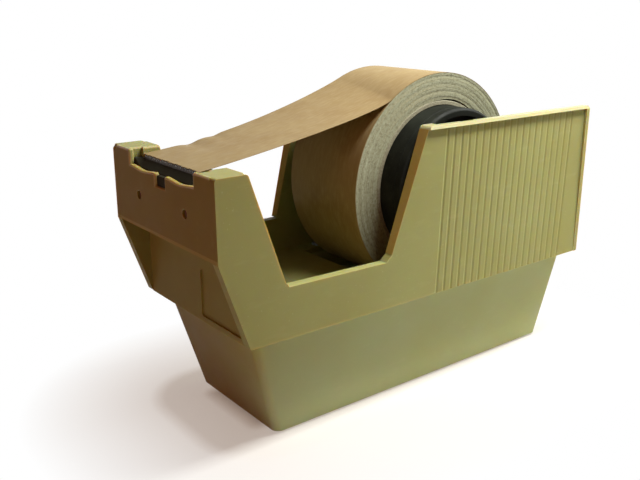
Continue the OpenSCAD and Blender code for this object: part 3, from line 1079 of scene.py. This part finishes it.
@dataclass
class Housing:
    """Upper shell, base and what is fixed under them.

    The fields that end in turn say how much of a face's normal has to point its way.
    """

    finishes: Finishes
    shell_edge: float = 1.0 * MM
    base_edge: float = 0.8 * MM
    lip_height: float = 1.5 * MM
    lip_lean: float = 0.9 * MM
    rim_out: float = 0.4 * MM
    draft: float = 1.1 * MM
    groove_start: float = 3.8 * MM
    groove_pitch: float = 5 * MM
    groove_half: float = 1.15 * MM
    groove_lean: float = 3.2
    groove_floor: Span = (0.15 * MM, 0.45 * MM)
    groove_close: float = 0.85
    notch_front: float = -85 * MM
    notch_rear: float = -26.5 * MM
    notch_z: float = 77 * MM
    notch_sink: Span = (0.9 * MM, 1.8 * MM)
    notch_back: float = 1.6 * MM
    notch_slack: float = 0.02
    panel_x: float = -4.1 * MM
    panel_slack: float = 0.01
    end_band: float = 0.4 * MM
    far_lean: Span = (3 * MM, 13 * MM)
    block_z: float = 125.9 * MM
    far_block_rise: float = 0.8 * MM
    # Where the painted amber glow on the panels' front ends starts, and how wide it is
    amber_foot: float = 0.04
    amber_band: float = 1.2 * MM
    wavy_half: float = 28.5 * MM
    wavy_z: float = 110 * MM
    crease_z: float = 92 * MM
    # Height of the band that takes the painted crease highlight
    crease_line: float = 1.5 * MM
    toe_depth: float = 14 * MM
    front_turn: float = 0.99
    amber_turn: float = 0.8
    wavy_turn: float = 0.3
    crease_turn: float = 0.9
    toe_turn: float = 0.5
    side_depth: float = 2 * MM
    block_in: float = 5.3 * MM
    front_depth: float = 2.65 * MM
    outer_y: float = field(init=False)
    front_x: float = field(init=False)
    block_y: float = field(init=False)
    foot_z: float = field(init=False)
    skirt_z: float = field(init=False)
    panel_z: float = field(init=False)
    lip_z: float = field(init=False)
    half_width: float = field(init=False)

    def __post_init__(self) -> None:
        """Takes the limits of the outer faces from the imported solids."""
        low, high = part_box("upper_shell")
        self.skirt_z, self.panel_z = low.z, high.z
        self.lip_z = high.z - self.lip_height
        self.half_width = high.y - self.rim_out
        self.outer_y = high.y - self.side_depth
        self.block_y = high.y - self.block_in
        self.front_x = low.x + self.front_depth
        self.foot_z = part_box("base_tub")[0].z + TOUCH

    def build(self) -> None:
        """Makes the rounded mouldings and the screws."""
        finishes = self.finishes
        shell = softened(
            "upper_shell",
            "upper_shell_moulding",
            self.shell_edge,
            finishes.shell,
            finishes.edge,
            self.on_outside,
            self.reshape,
        )
        zones = (
            (finishes.lip, self.on_lip),
            (finishes.rim, self.on_thin_end),
            (finishes.crease, self.on_crease),
            (finishes.toe, self.on_toe),
        )
        first = len(shell.data.materials)
        for material, _ in zones:
            shell.data.materials.append(material)
        for face in shell.data.polygons:
            hits = [index for index, (_, holds) in enumerate(zones) if holds(face.center, face.normal)]
            if hits:
                face.material_index = first + hits[0]
        seat(shell, Body.HOUSING, "upper_shell")
        base = softened("base_tub", "base_moulding", self.base_edge, finishes.base, where=self.at_foot)
        seat(base, Body.HOUSING, "base_tub")
        screws = CrossScrews(finishes.steel)
        for node, up in (("shell_screws", True), ("bottom_screws", False)):
            seat(screws.build(node, up), Body.HOUSING, node)

    def dress(self) -> None:
        """Dresses the solids that stay as they are."""
        feet = [f"foot_{end}_{side}" for end in ("front", "rear") for side in ("near", "far")]
        dress(self.finishes.rubber, *feet)
        dress(self.finishes.ballast, "ballast_block")
        dress(self.finishes.steel, "bottom_plate")

    def reshape(self, form: bmesh.types.BMesh) -> None:
        """Adds the small forms that the shell's solid lacks, before its edges are rounded.

        Args:
            form: The shell.
        """
        up = Vector((0, 0, 1))
        split(form, [*form.verts, *form.edges, *form.faces], up * self.lip_z, up)
        # Cut a band along the front's lower edge for the painted crease highlight.
        ahead = [face for face in form.faces if face.normal.x < -self.front_turn]
        front = [face for face in ahead if face.calc_center_median().x < self.front_x]
        around = dict.fromkeys(part for face in front for part in (*face.verts, *face.edges, face))
        split(form, [*around], up * (self.crease_z + self.crease_line), up)
        moves = (self.set_far_end, self.raise_far_block, self.sink_notch, self.slope_lip, self.close_groove)
        for vert in form.verts:
            for move in moves:
                move(vert.co)

    def set_far_end(self, point: Vector) -> None:
        """Sets the far panel's front end further forward and more upright.

        Args:
            point: A point of the shell, which is moved.
        """
        share = self.panel_share(point.z)
        plain = self.panel_end(share, False)
        if point.y > 0 and share > -self.panel_slack and abs(point.x - plain) < self.end_band:
            point.x += self.panel_end(share, True) - plain

    def raise_far_block(self, point: Vector) -> None:
        """Raises the far end block a little."""
        if point.y > 0 and point.x < self.notch_front and point.z > self.block_z:
            point.z += self.far_block_rise

    def sink_notch(self, point: Vector) -> None:
        """Lowers the bottom of the near notch, more so at its rear end.

        Args:
            point: A point of the shell, which is moved.
        """
        back = (point.x - self.notch_front) / (self.notch_rear - self.notch_front)
        inside = -self.notch_slack < back < 1 + self.notch_slack
        if point.y < 0 and abs(point.z - self.notch_z) < TOUCH and inside:
            front, rear = self.notch_sink
            point.z -= front + (rear - front) * back
            point.x -= self.notch_back * (back > 1 - self.notch_slack)

    def slope_lip(self, point: Vector) -> None:
        """Slopes the panels' top lip inwards.

        Args:
            point: A point of the shell, which is moved.
        """
        rise = point.z - self.lip_z
        if rise > 0 and abs(point.y) > self.half_width + self.rim_out / 2:
            point.y -= math.copysign(self.lip_lean * rise / self.lip_height, point.y)

    def close_groove(self, point: Vector) -> None:
        """Draws the floor of a groove together, which makes it a V groove.

        Args:
            point: A point of the shell, which is moved.
        """
        height = point.z - self.skirt_z
        depth = self.half_width - self.draft * height / (self.panel_z - self.skirt_z) - abs(point.y)
        along = point.x - self.groove_start - height * math.tan(math.radians(self.groove_lean))
        off = along - self.groove_pitch * round(along / self.groove_pitch)
        shallow, deep = self.groove_floor
        if shallow < depth < deep and along > -self.groove_half and abs(off) < self.groove_half:
            point.x -= self.groove_close * off

    def panel_share(self, z: float) -> float:
        """Gives a height as a share of the panel's, from 0 at its foot to 1 at its top."""
        return (z - self.notch_z) / (self.panel_z - self.notch_z)

    def panel_end(self, share: float, far: bool) -> float:
        """Gives where a panel's front end lies.

        Args:
            share: Height, from 0 at the foot of the panel to 1 at its top.
            far: Whether it is the far panel, which stands more upright.

        Returns:
            The place along X, in metres.
        """
        foot, top = self.far_lean
        place = self.notch_rear + (self.panel_x - self.notch_rear) * share
        return place - (foot + (top - foot) * share) * far

    def on_lip(self, point: Vector, normal: Vector) -> bool:
        """Tells whether a face lies on the panels' top lip, which takes a painted highlight."""
        return point.z > self.lip_z - TOUCH

    def on_thin_end(self, point: Vector, normal: Vector) -> bool:
        """Tells whether a face is a thin wall's end, which takes a painted amber glow for the light that
        shines through the plastic.

        Args:
            point: The face's middle.
            normal: The face's normal.

        Returns:
            Whether it is the front end of a panel or the top of the wavy lip.
        """
        share = self.panel_share(point.z)
        from_end = abs(point.x - self.panel_end(share, point.y > 0))
        at_end = share > self.amber_foot and from_end < self.amber_band and normal.x < -self.amber_turn
        at_wave = point.x < self.front_x and abs(point.y) < self.wavy_half and point.z > self.wavy_z
        return at_end or (at_wave and normal.z > self.wavy_turn)

    def on_crease(self, point: Vector, normal: Vector) -> bool:
        """Tells whether a face is the band along the front's lower edge, which takes a painted highlight."""
        above = point.z - self.crease_z
        return normal.x < -self.crease_turn and point.x < self.front_x and 0 < above < self.crease_line

    def on_toe(self, point: Vector, normal: Vector) -> bool:
        """Tells whether a face lies on the panel set back under the head, painted paler and greener for the
        light that reaches it.
        """
        set_back = 0 < point.x - self.front_x < self.toe_depth
        return normal.x < -self.toe_turn and set_back and point.z < self.crease_z

    def on_outside(self, point: Vector) -> bool:
        """Tells whether a point of the shell lies on its outer sides, front or block tops."""
        on_block = point.x < 0 and point.z > self.block_z and abs(point.y) < self.block_y
        return abs(point.y) > self.outer_y or point.x < self.front_x or on_block

    def at_foot(self, point: Vector) -> bool:
        """Tells whether a point of the base lies at its bottom edge."""
        return point.z < self.foot_z


@dataclass
class CuttingHead:
    """Blade holder, toothed blade and the rivets that hold them."""

    finishes: Finishes
    holder_edge: float = 0.25 * MM
    holder_drop: float = 3.2 * MM
    holder_back: float = 2 * MM
    cheek: Span = (2.2 * MM, 6.5 * MM)
    tooth_pitch: float = 2 * MM
    tooth_height: float = 1.6 * MM
    tooth_seat: float = 0.499
    tip_taper: float = 0.94
    grind: float = 0.55
    plain_pitches: int = 4
    rivet_dome: float = 0.25

    def build(self) -> None:
        """Makes the holder, the blade and the rivets."""
        black = self.finishes.holder
        holder = softened(
            "blade_holder", "blade_holder_moulding", self.holder_edge, black, reshape=self.slope_top
        )
        seat(holder, Body.HOUSING, "blade_holder")
        seat(self.blade(), Body.HOUSING, "cutter_blade")
        seat(self.rivets(), Body.HOUSING, "holder_rivets")

    def slope_top(self, form: bmesh.types.BMesh) -> None:
        """Slopes the holder's top down to the front, apart from its far end.

        Args:
            form: The holder.
        """
        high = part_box("blade_holder")[1]
        for inward in self.cheek:
            place = Vector((0, high.y - inward, 0))
            split(form, [*form.verts, *form.edges, *form.faces], place, Vector((0, 1, 0)))
        for vert in form.verts:
            at_front = vert.co.z > high.z - TOUCH and vert.co.x < high.x - self.holder_back
            if at_front and vert.co.y < high.y - self.cheek[0] - TOUCH:
                vert.co.z -= self.holder_drop

    def blade(self) -> bpy.types.Object:
        """Makes the blade: a strip with a row of teeth, each ground to a thin tip.

        Returns:
            The blade.
        """
        low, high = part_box("cutter_blade")
        size = high - low
        tree = GeometryTree("toothed_blade")
        thick = tree.size("Thickness", size.x)
        pitch = tree.size("Tooth Pitch", self.tooth_pitch)
        rise = tree.size("Tooth Height", self.tooth_height)
        width = tree.size("Width", size.y)
        height = tree.size("Plain Height", size.z - self.tooth_height)
        grind = tree.size("Grind", self.grind)
        strip = tree.add("GeometryNodeMeshCube", Size=tree.vector(thick, width, height))
        strip = tree.shift(strip, tree.vector(z=height * -0.5))
        tooth = tree.add("GeometryNodeMeshCube", Size=tree.vector(thick, pitch, rise))
        x, y, z = tree.place()
        tip = z > 0.0
        ground = tip * grind
        thinned = x * (1.0 - ground) + ground * (thick * -0.5)
        tooth = tree.bend(tooth, Position=tree.vector(thinned, y * (1.0 - tip * self.tip_taper), z))
        count = int((size.y - self.plain_pitches * self.tooth_pitch) / self.tooth_pitch)
        row = tree.add(
            "GeometryNodeMeshLine",
            Count=tree.size("Teeth", count),
            Start_Location=tree.vector(y=pitch * (-(count - 1) / 2), z=rise * self.tooth_seat),
            Offset=tree.vector(y=pitch),
        )
        teeth = tree.add("GeometryNodeInstanceOnPoints", Points=row, Instance=tooth)
        place = ((low.x + high.x) / 2, 0, high.z - self.tooth_height)
        return tree.mesh(tree.shift(tree.join(strip, teeth), place), self.finishes.blade)

    def rivets(self) -> bpy.types.Object:
        """Makes the two rivets, with shallow domes at the front.

        Returns:
            The rivets as one piece.
        """
        low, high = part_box("holder_rivets")
        size = high - low
        tree = GeometryTree("front_rivets")
        radius = tree.size("Radius", size.z / 2)
        length = tree.size("Length", size.x)
        rivet = tree.rod(32, radius, length, bands=2, rings=4)
        x, y, z = tree.place()
        dome = (x**2.0 + y**2.0) / radius**2.0 * (radius * -self.rivet_dome)
        rivet = tree.bend(rivet, Offset=tree.vector(z=dome * (z > 0.0)))
        rivet = tree.shift(rivet, (0, 0, 0), (0, -math.pi / 2, 0))
        gap = tree.size("Spacing", size.y - size.z)
        pair = tree.add(
            "GeometryNodeMeshLine",
            Count=2,
            Start_Location=tree.vector(y=gap * -0.5),
            Offset=tree.vector(y=gap),
        )
        pair = tree.add("GeometryNodeInstanceOnPoints", Points=pair, Instance=rivet)
        piece = tree.mesh(tree.shift(pair, tuple(middle_of("holder_rivets"))), self.finishes.rivet)
        smooth(piece.data)
        return piece


@dataclass
class Hub:
    """Lift-out hub: drum, end caps and bushes that turn, axle and clips that don't."""

    finishes: Finishes
    edge: float = 0.4 * MM

    def build(self) -> None:
        """Makes the rounded drum and end caps."""
        for node in ("hub_drum", "hub_cap_near", "hub_cap_far"):
            piece = softened(node, f"{node}_moulding", self.edge, self.finishes.black)
            seat(piece, Body.ROLL, node)

    def dress(self) -> None:
        """Dresses the small turned pieces."""
        dress(self.finishes.nylon, "bush_near", "bush_far")
        dress(self.finishes.steel, "axle", "washer_near", "washer_far", "clip_near", "clip_far")


@dataclass
class TapeRoll:
    """Paper core, wound tape and the strip that runs from the roll to the blade.

    Pairs are taken at the near edge and the far edge of the tape. Angles are in degrees.
    """

    finishes: Finishes
    core_edge: float = 0.3 * MM
    layers: int = 64
    layer_step: float = 0.2 * MM
    layer_chance: float = 0.5
    layer_drift: float = 0.35
    drift_beat: float = 0.37
    rail_points: int = 200
    seed: int = 11
    other_end: float = 500.0
    end_turn: float = 0.5
    loose_at: float = 16
    loose_spread: float = 18
    loose_gap: float = 1.0 * MM
    loose_depth: float = 2.4 * MM
    lap_gap: float = 14
    lap_in: float = 0.3 * MM
    wound_in: float = 0.2 * MM
    peel: Span = (36, 24.5)
    rise: Span = (10, 5.7)
    lead: Span = (43 * MM, 50 * MM)
    pull: Span = (9.3 * MM, 13.2 * MM)
    skew: float = 3 * MM
    dips: tuple[Triple, ...] = ((0.147, 0.026, 0.95 * MM), (0.234, 0.02, 0.6 * MM))
    sheet: float = 0.16 * MM
    tooth_pitch: float = 2 * MM
    tooth_height: float = 1.2 * MM
    tear: Span = (0.7, 0.5)
    tear_beats: Span = (7.3, 2.1)
    columns: int = 102
    free_rows: int = 110
    lap_rows: int = 120
    axle: Vector = field(init=False)
    lap_r: float = field(init=False)
    wound_r: float = field(init=False)
    inner_r: float = field(init=False)
    width: float = field(init=False)
    start: Vector = field(init=False)

    def __post_init__(self) -> None:
        """Takes the roll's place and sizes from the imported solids."""
        low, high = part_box("tape_strip")
        core_low, core_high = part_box("tape_core")
        self.axle = middle_of("tape_roll")
        self.lap_r = high.z - self.axle.z - self.lap_in
        self.wound_r = self.lap_r - self.wound_in
        self.inner_r = (core_high.z - core_low.z) / 2
        self.width = high.y - low.y
        self.start = Vector((low.x, 0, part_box("cutter_blade")[1].z))

    def build(self) -> None:
        """Makes the core, the wound roll and the strip."""
        core = softened("tape_core", "tape_core_board", self.core_edge, self.finishes.core)
        seat(core, Body.ROLL, "tape_core")
        seat(self.wound(), Body.ROLL, "tape_roll")
        strip = self.strip()
        seat(strip, Body.SPINDLE, "tape_strip")
        area = sum(face.area for face in strip.data.polygons) / 2
        area / self.width

    def wound(self) -> bpy.types.Object:
        """Makes the wound roll: each layer stands in or out by a little at both ends.

        The points of its closed section run out along one end and back along the other, two to a
        layer at each end, and the section is swept round the axle. The quarters that are added to
        a point's place keep its half clear of rounding.

        Returns:
            The wound roll.
        """
        middle = (self.inner_r + self.wound_r) / 2
        tree = GeometryTree("wound_tape")
        count = tree.size("Layers", self.layers)
        start = tree.size("Inner Radius", self.inner_r - middle)
        thick = tree.size("Layer Thickness", (self.wound_r - self.inner_r) / self.layers)
        half = tree.size("Half Width", self.width / 2)
        step = tree.size("Layer Step", self.layer_step)
        total = count * 4.0
        index = Number(tree, tree.add("GeometryNodeInputIndex"))
        back = index > (count * 2.0 - 0.5)
        place = index * (1.0 - back) + (total - 1.0 - index) * back
        layer = tree.maths("FLOOR", (place + 0.25) * 0.5)
        rung = tree.maths("FLOOR", (place + 1.25) * 0.5)
        chance = tree.chance(1.0, self.seed, ID=layer + back * self.other_end)
        drift = (tree.maths("SINE", layer * self.drift_beat) + 1.0) * self.layer_drift
        inset = step * (chance * self.layer_chance + drift)
        across = (1.0 - back * 2.0) * (half - inset)
        section = tree.add("GeometryNodeMeshLine", Count=total)
        section = tree.bend(section, Position=tree.vector(start + thick * rung, across, 0.0))
        on_points = {"data_type": "FLOAT", "domain": "POINT"}
        section = tree.add(
            "GeometryNodeStoreNamedAttribute", on_points, Geometry=section, Name=TONE, Value=chance
        )
        section = tree.add("GeometryNodeMeshToCurve", Mesh=section)
        section = tree.add("GeometryNodeSetSplineCyclic", Geometry=section, Cyclic=True)
        turn = tree.size("Middle Radius", middle)
        rail = tree.add("GeometryNodeCurvePrimitiveCircle", Resolution=self.rail_points, Radius=turn)
        ring = tree.add("GeometryNodeCurveToMesh", Curve=rail, Profile_Curve=section)
        piece = tree.mesh(tree.shift(ring, tuple(self.axle), (math.pi / 2, 0, 0)), self.finishes.wound)
        for vert in piece.data.vertices:
            vert.co += self.loose_lift(vert.co)
        face_outwards(piece.data)
        piece.data.materials.append(self.finishes.tape)
        for face in piece.data.polygons:
            face.material_index = int(abs(face.normal.y) < self.end_turn)
        smooth(piece.data)
        return piece

    def loose_lift(self, point: Vector) -> Vector:
        """Gives how far the innermost layers stand off the core, where they are loose.

        Args:
            point: A point of the wound roll.

        Returns:
            The way by which it lifts.
        """
        spoke = Vector((point.x - self.axle.x, 0, point.z - self.axle.z))
        deep = max(0.0, 1 - (spoke.length - self.inner_r) / self.loose_depth)
        turn = math.degrees(math.atan2(spoke.x, spoke.z)) - self.loose_at
        return spoke.normalized() * self.loose_gap * deep * math.exp(-((turn / self.loose_spread) ** 2))

    def path(self, step: float, across: float) -> Vector:
        """Gives a point of the tape's path.

        Args:
            step: From 0 at the blade to 1 where the tape meets the roll, and to 2 at the end of its lap.
            across: From 0 at the near edge to 1 at the far edge.

        Returns:
            The point.
        """
        peel, rise, lead, pull = (
            near + (far - near) * across for near, far in (self.peel, self.rise, self.lead, self.pull)
        )
        peel, rise = math.radians(peel), math.radians(rise)
        y = self.width * (across - 0.5)
        hub = Vector((self.axle.x, y, self.axle.z))
        if step >= 1:
            turn = math.radians(360 - self.lap_gap) * (step - 1) - peel
            return hub + self.lap_r * Vector((math.sin(turn), 0, math.cos(turn)))
        first = Vector((self.start.x, y, self.start.z))
        last = hub + self.lap_r * Vector((-math.sin(peel), 0, math.cos(peel)))
        second = first + lead * Vector((math.cos(rise), 0, math.sin(rise)))
        third = last - pull * Vector((math.cos(peel), 0, math.sin(peel)))
        rest = 1 - step
        point = rest**3 * first + 3 * step * rest**2 * second + 3 * step**2 * rest * third + step**3 * last
        dip = sum(depth * math.exp(-(((step - at) / spread) ** 2)) for at, spread, depth in self.dips)
        return point + Vector((0, self.skew * rest**6, -dip * across**4))

    def torn(self, y: float) -> float:
        """Gives how far the torn end reaches past the blade.

        Args:
            y: Place across the tape, in metres.

        Returns:
            The reach, in metres.
        """
        tooth, phase = divmod(y / self.tooth_pitch, 1)
        even, uneven = self.tear
        fast, slow = self.tear_beats
        ragged = even + uneven * math.sin(fast * tooth) * math.sin(slow * tooth)
        return self.tooth_height * ragged * (1 - abs(2 * phase - 1))

    def strip(self) -> bpy.types.Object:
        """Makes the tape from its torn end at the blade to the end of its lap.

        Returns:
            The strip.
        """
        steps = [i / self.free_rows for i in range(self.free_rows)]
        steps += [1 + i / self.lap_rows for i in range(self.lap_rows + 1)]
        wide = self.columns + 1
        points = [self.path(step, column / self.columns) for step in steps for column in range(wide)]
        for point in points[:wide]:
            point.x -= self.torn(point.y)
        corners = [row * wide + column for row in range(len(steps) - 1) for column in range(self.columns)]
        faces = [(at, at + wide, at + wide + 1, at + 1) for at in corners]
        mesh = bpy.data.meshes.new("tape_strip_sheet")
        mesh.from_pydata(points, [], faces)
        mesh.materials.append(self.finishes.tape)
        face_outwards(mesh)
        piece = link_up("tape_strip_sheet", mesh)
        solid = piece.modifiers.new("thickness", "SOLIDIFY")
        solid.thickness = self.sheet
        solid.offset = 0
        smooth(settle(piece).data, angle=50)
        return piece


@dataclass(frozen=True)
class Lamp:
    """A soft flat lamp."""

    name: str
    place: Triple
    aim: Triple
    width: float
    depth: float
    power: float
    colour: Colour

    def hang(self) -> None:
        """Adds the lamp to the scene."""
        data = bpy.data.lights.new(self.name, "AREA")
        data.shape = "RECTANGLE"
        data.size = self.width
        data.size_y = self.depth
        data.energy = self.power
        data.color = self.colour
        lamp = link_up(self.name, data)
        lamp.location = self.place
        way = Vector(self.aim) - Vector(self.place)
        lamp.rotation_euler = way.to_track_quat("-Z", "Y").to_euler()


@dataclass
class Studio:
    """Camera, lamps, pale floor and white surroundings."""

    eye: Vector = field(default_factory=lambda: Vector((-0.2613, -0.2960, 0.1903)))
    look: Vector = field(default_factory=lambda: Vector((0.5858, 0.7557, -0.2930)))
    lens: float = 44.26
    sensor: float = 36.0
    nearest: float = 0.01
    dim_light: Colour = (0.045, 0.015, 0.008)
    floor_r: float = 3.0
    floor_colour: Colour = (0.88, 0.89, 0.90)
    bounce_colour: Colour = (0.46, 0.30, 0.125)
    bounce_x: Span = (-0.20, -0.06)
    # Painted floor shade: near the base's footprint the floor's white glow falls off and turns warm, and the
    # ramp's steps paint the shape of the shadow under the head.
    shade_tint: Colour = (1.0, 0.785, 0.625)
    foot_half: Span = (0.083, 0.018)
    whiteness: tuple[Span, ...] = ((0, 0.2), (0.008, 0.42), (0.026, 0.46), (0.034, 0.66), (0.095, 1))
    lamps: tuple[Lamp, ...] = (
        Lamp("key", (0.25, -0.14, 0.45), (0.25, 0.0, 0.10), 0.5, 0.08, 5.0, (0.97, 0.98, 0.92)),
        Lamp("glow", (-1.2, -0.3, 0.3), (0.0, 0.0, 0.08), 0.8, 0.8, 1.45, (1.0, 0.21, 0.05)),
        Lamp("fill", (-0.30, -0.40, 0.30), (-0.03, 0.0, 0.08), 0.4, 0.4, 0.06, (1.0, 0.34, 0.17)),
        Lamp("back", (0.35, 0.85, 0.06), (0.0, 0.0, 0.06), 0.5, 0.1, 2.6, (0.97, 0.98, 0.92)),
    )

    def build(self) -> None:
        """Sets up the whole studio."""
        self.camera()
        for lamp in self.lamps:
            lamp.hang()
        self.world()
        self.floor()
        bpy.context.scene.view_settings.view_transform = "Standard"

    def camera(self) -> None:
        """Makes the camera at the photograph's viewing angle."""
        data = bpy.data.cameras.new("camera")
        data.lens = self.lens
        data.sensor_width = self.sensor
        data.clip_start = self.nearest
        camera = link_up("camera", data)
        camera.location = self.eye
        camera.rotation_euler = self.look.to_track_quat("-Z", "Y").to_euler()
        bpy.context.scene.camera = camera

    def world(self) -> None:
        """Makes the surroundings: white to look at, dim as a light."""
        world = bpy.data.worlds.new("surroundings")
        world.use_nodes = True
        world.node_tree.nodes.clear()
        tree = NodeTree(world.node_tree)
        lights = [tree.add("ShaderNodeBackground", Color=colour) for colour in (self.dim_light, WHITE)]
        tree.node("ShaderNodeOutputWorld", Surface=tree.blend(self.seen_rays(tree), *lights))
        bpy.context.scene.world = world

    def seen_rays(self, tree: NodeTree) -> Number:
        """Adds the test for rays that show the background.

        Args:
            tree: The node tree to add it to.

        Returns:
            A value of 1 for camera, glossy and transmission rays.
        """
        rays = tree.node("ShaderNodeLightPath").outputs
        shown = tree.maths("MAXIMUM", rays["Is Camera Ray"], rays["Is Glossy Ray"])
        return tree.maths("MAXIMUM", shown, rays["Is Transmission Ray"])

    def floor(self) -> None:
        """Makes the floor: pale near the dispenser, where it takes the lamps' shadow and a painted warm
        shade, white further out.
        """
        mesh = bpy.data.meshes.new("floor")
        form = bmesh.new()
        bmesh.ops.create_circle(form, cap_ends=True, segments=96, radius=self.floor_r)
        form.to_mesh(mesh)
        form.free()
        shader = Shader("pale_floor")
        rays = self.seen_rays(shader)
        places = shader.parts(shader.coords)
        bounce = shader.mix(shader.remap(places[0], *self.bounce_x), self.bounce_colour, self.floor_colour)
        seen = shader.mix(rays, bounce, self.floor_colour)
        shader.set(base_color=seen, roughness=0.9, specular_ior_level=0.1)
        white = self.floor_white(shader, places)
        # Near the base the white glow turns to the warm shade tint: painted shade.
        glow = shader.add("ShaderNodeEmission", Color=shader.mix(white, self.shade_tint, WHITE))
        shown = shader.blend(shader.maths("MULTIPLY", white, rays), shader.bsdf.outputs[0], glow)
        shader.feed(shader.tree.nodes["Material Output"].inputs["Surface"], shown)
        mesh.materials.append(shader.material)
        link_up("floor", mesh)

    def floor_white(self, shader: Shader, places: "list[Number]") -> Socket:
        """Adds how white the floor shows, by its distance from a box round the base's footprint; its low and
        stepped values near the box are painted shade.

        Args:
            shader: The floor's shader.
            places: The floor's coordinates.

        Returns:
            The whiteness, up to 1.
        """
        beside, across = (
            shader.maths("MAXIMUM", shader.maths("ABSOLUTE", place) - half, 0.0)
            for place, half in zip(places, self.foot_half)
        )
        distance = shader.maths("SQRT", beside**2.0 + across**2.0)
        furthest = self.whiteness[-1][0]
        ramp = shader.node("ShaderNodeValToRGB", Fac=distance / furthest)
        stops = ramp.color_ramp.elements
        for index, (place, white) in enumerate(self.whiteness):
            ends = {0: stops[0], len(self.whiteness) - 1: stops[-1]}
            stop = ends.get(index) or stops.new(place / furthest)
            stop.color = (white, white, white, 1)
        return ramp.outputs["Color"]


def main() -> None:
    """Builds the dispenser and its studio."""
    logging.basicConfig(level=logging.INFO, format="%(name)s: %(message)s")
    finishes = Finishes()
    Studio().build()
    housing = Housing(finishes)
    housing.build()
    housing.dress()
    CuttingHead(finishes).build()
    hub = Hub(finishes)
    hub.build()
    hub.dress()
    TapeRoll(finishes).build()


if __name__ == "__main__":
    main()
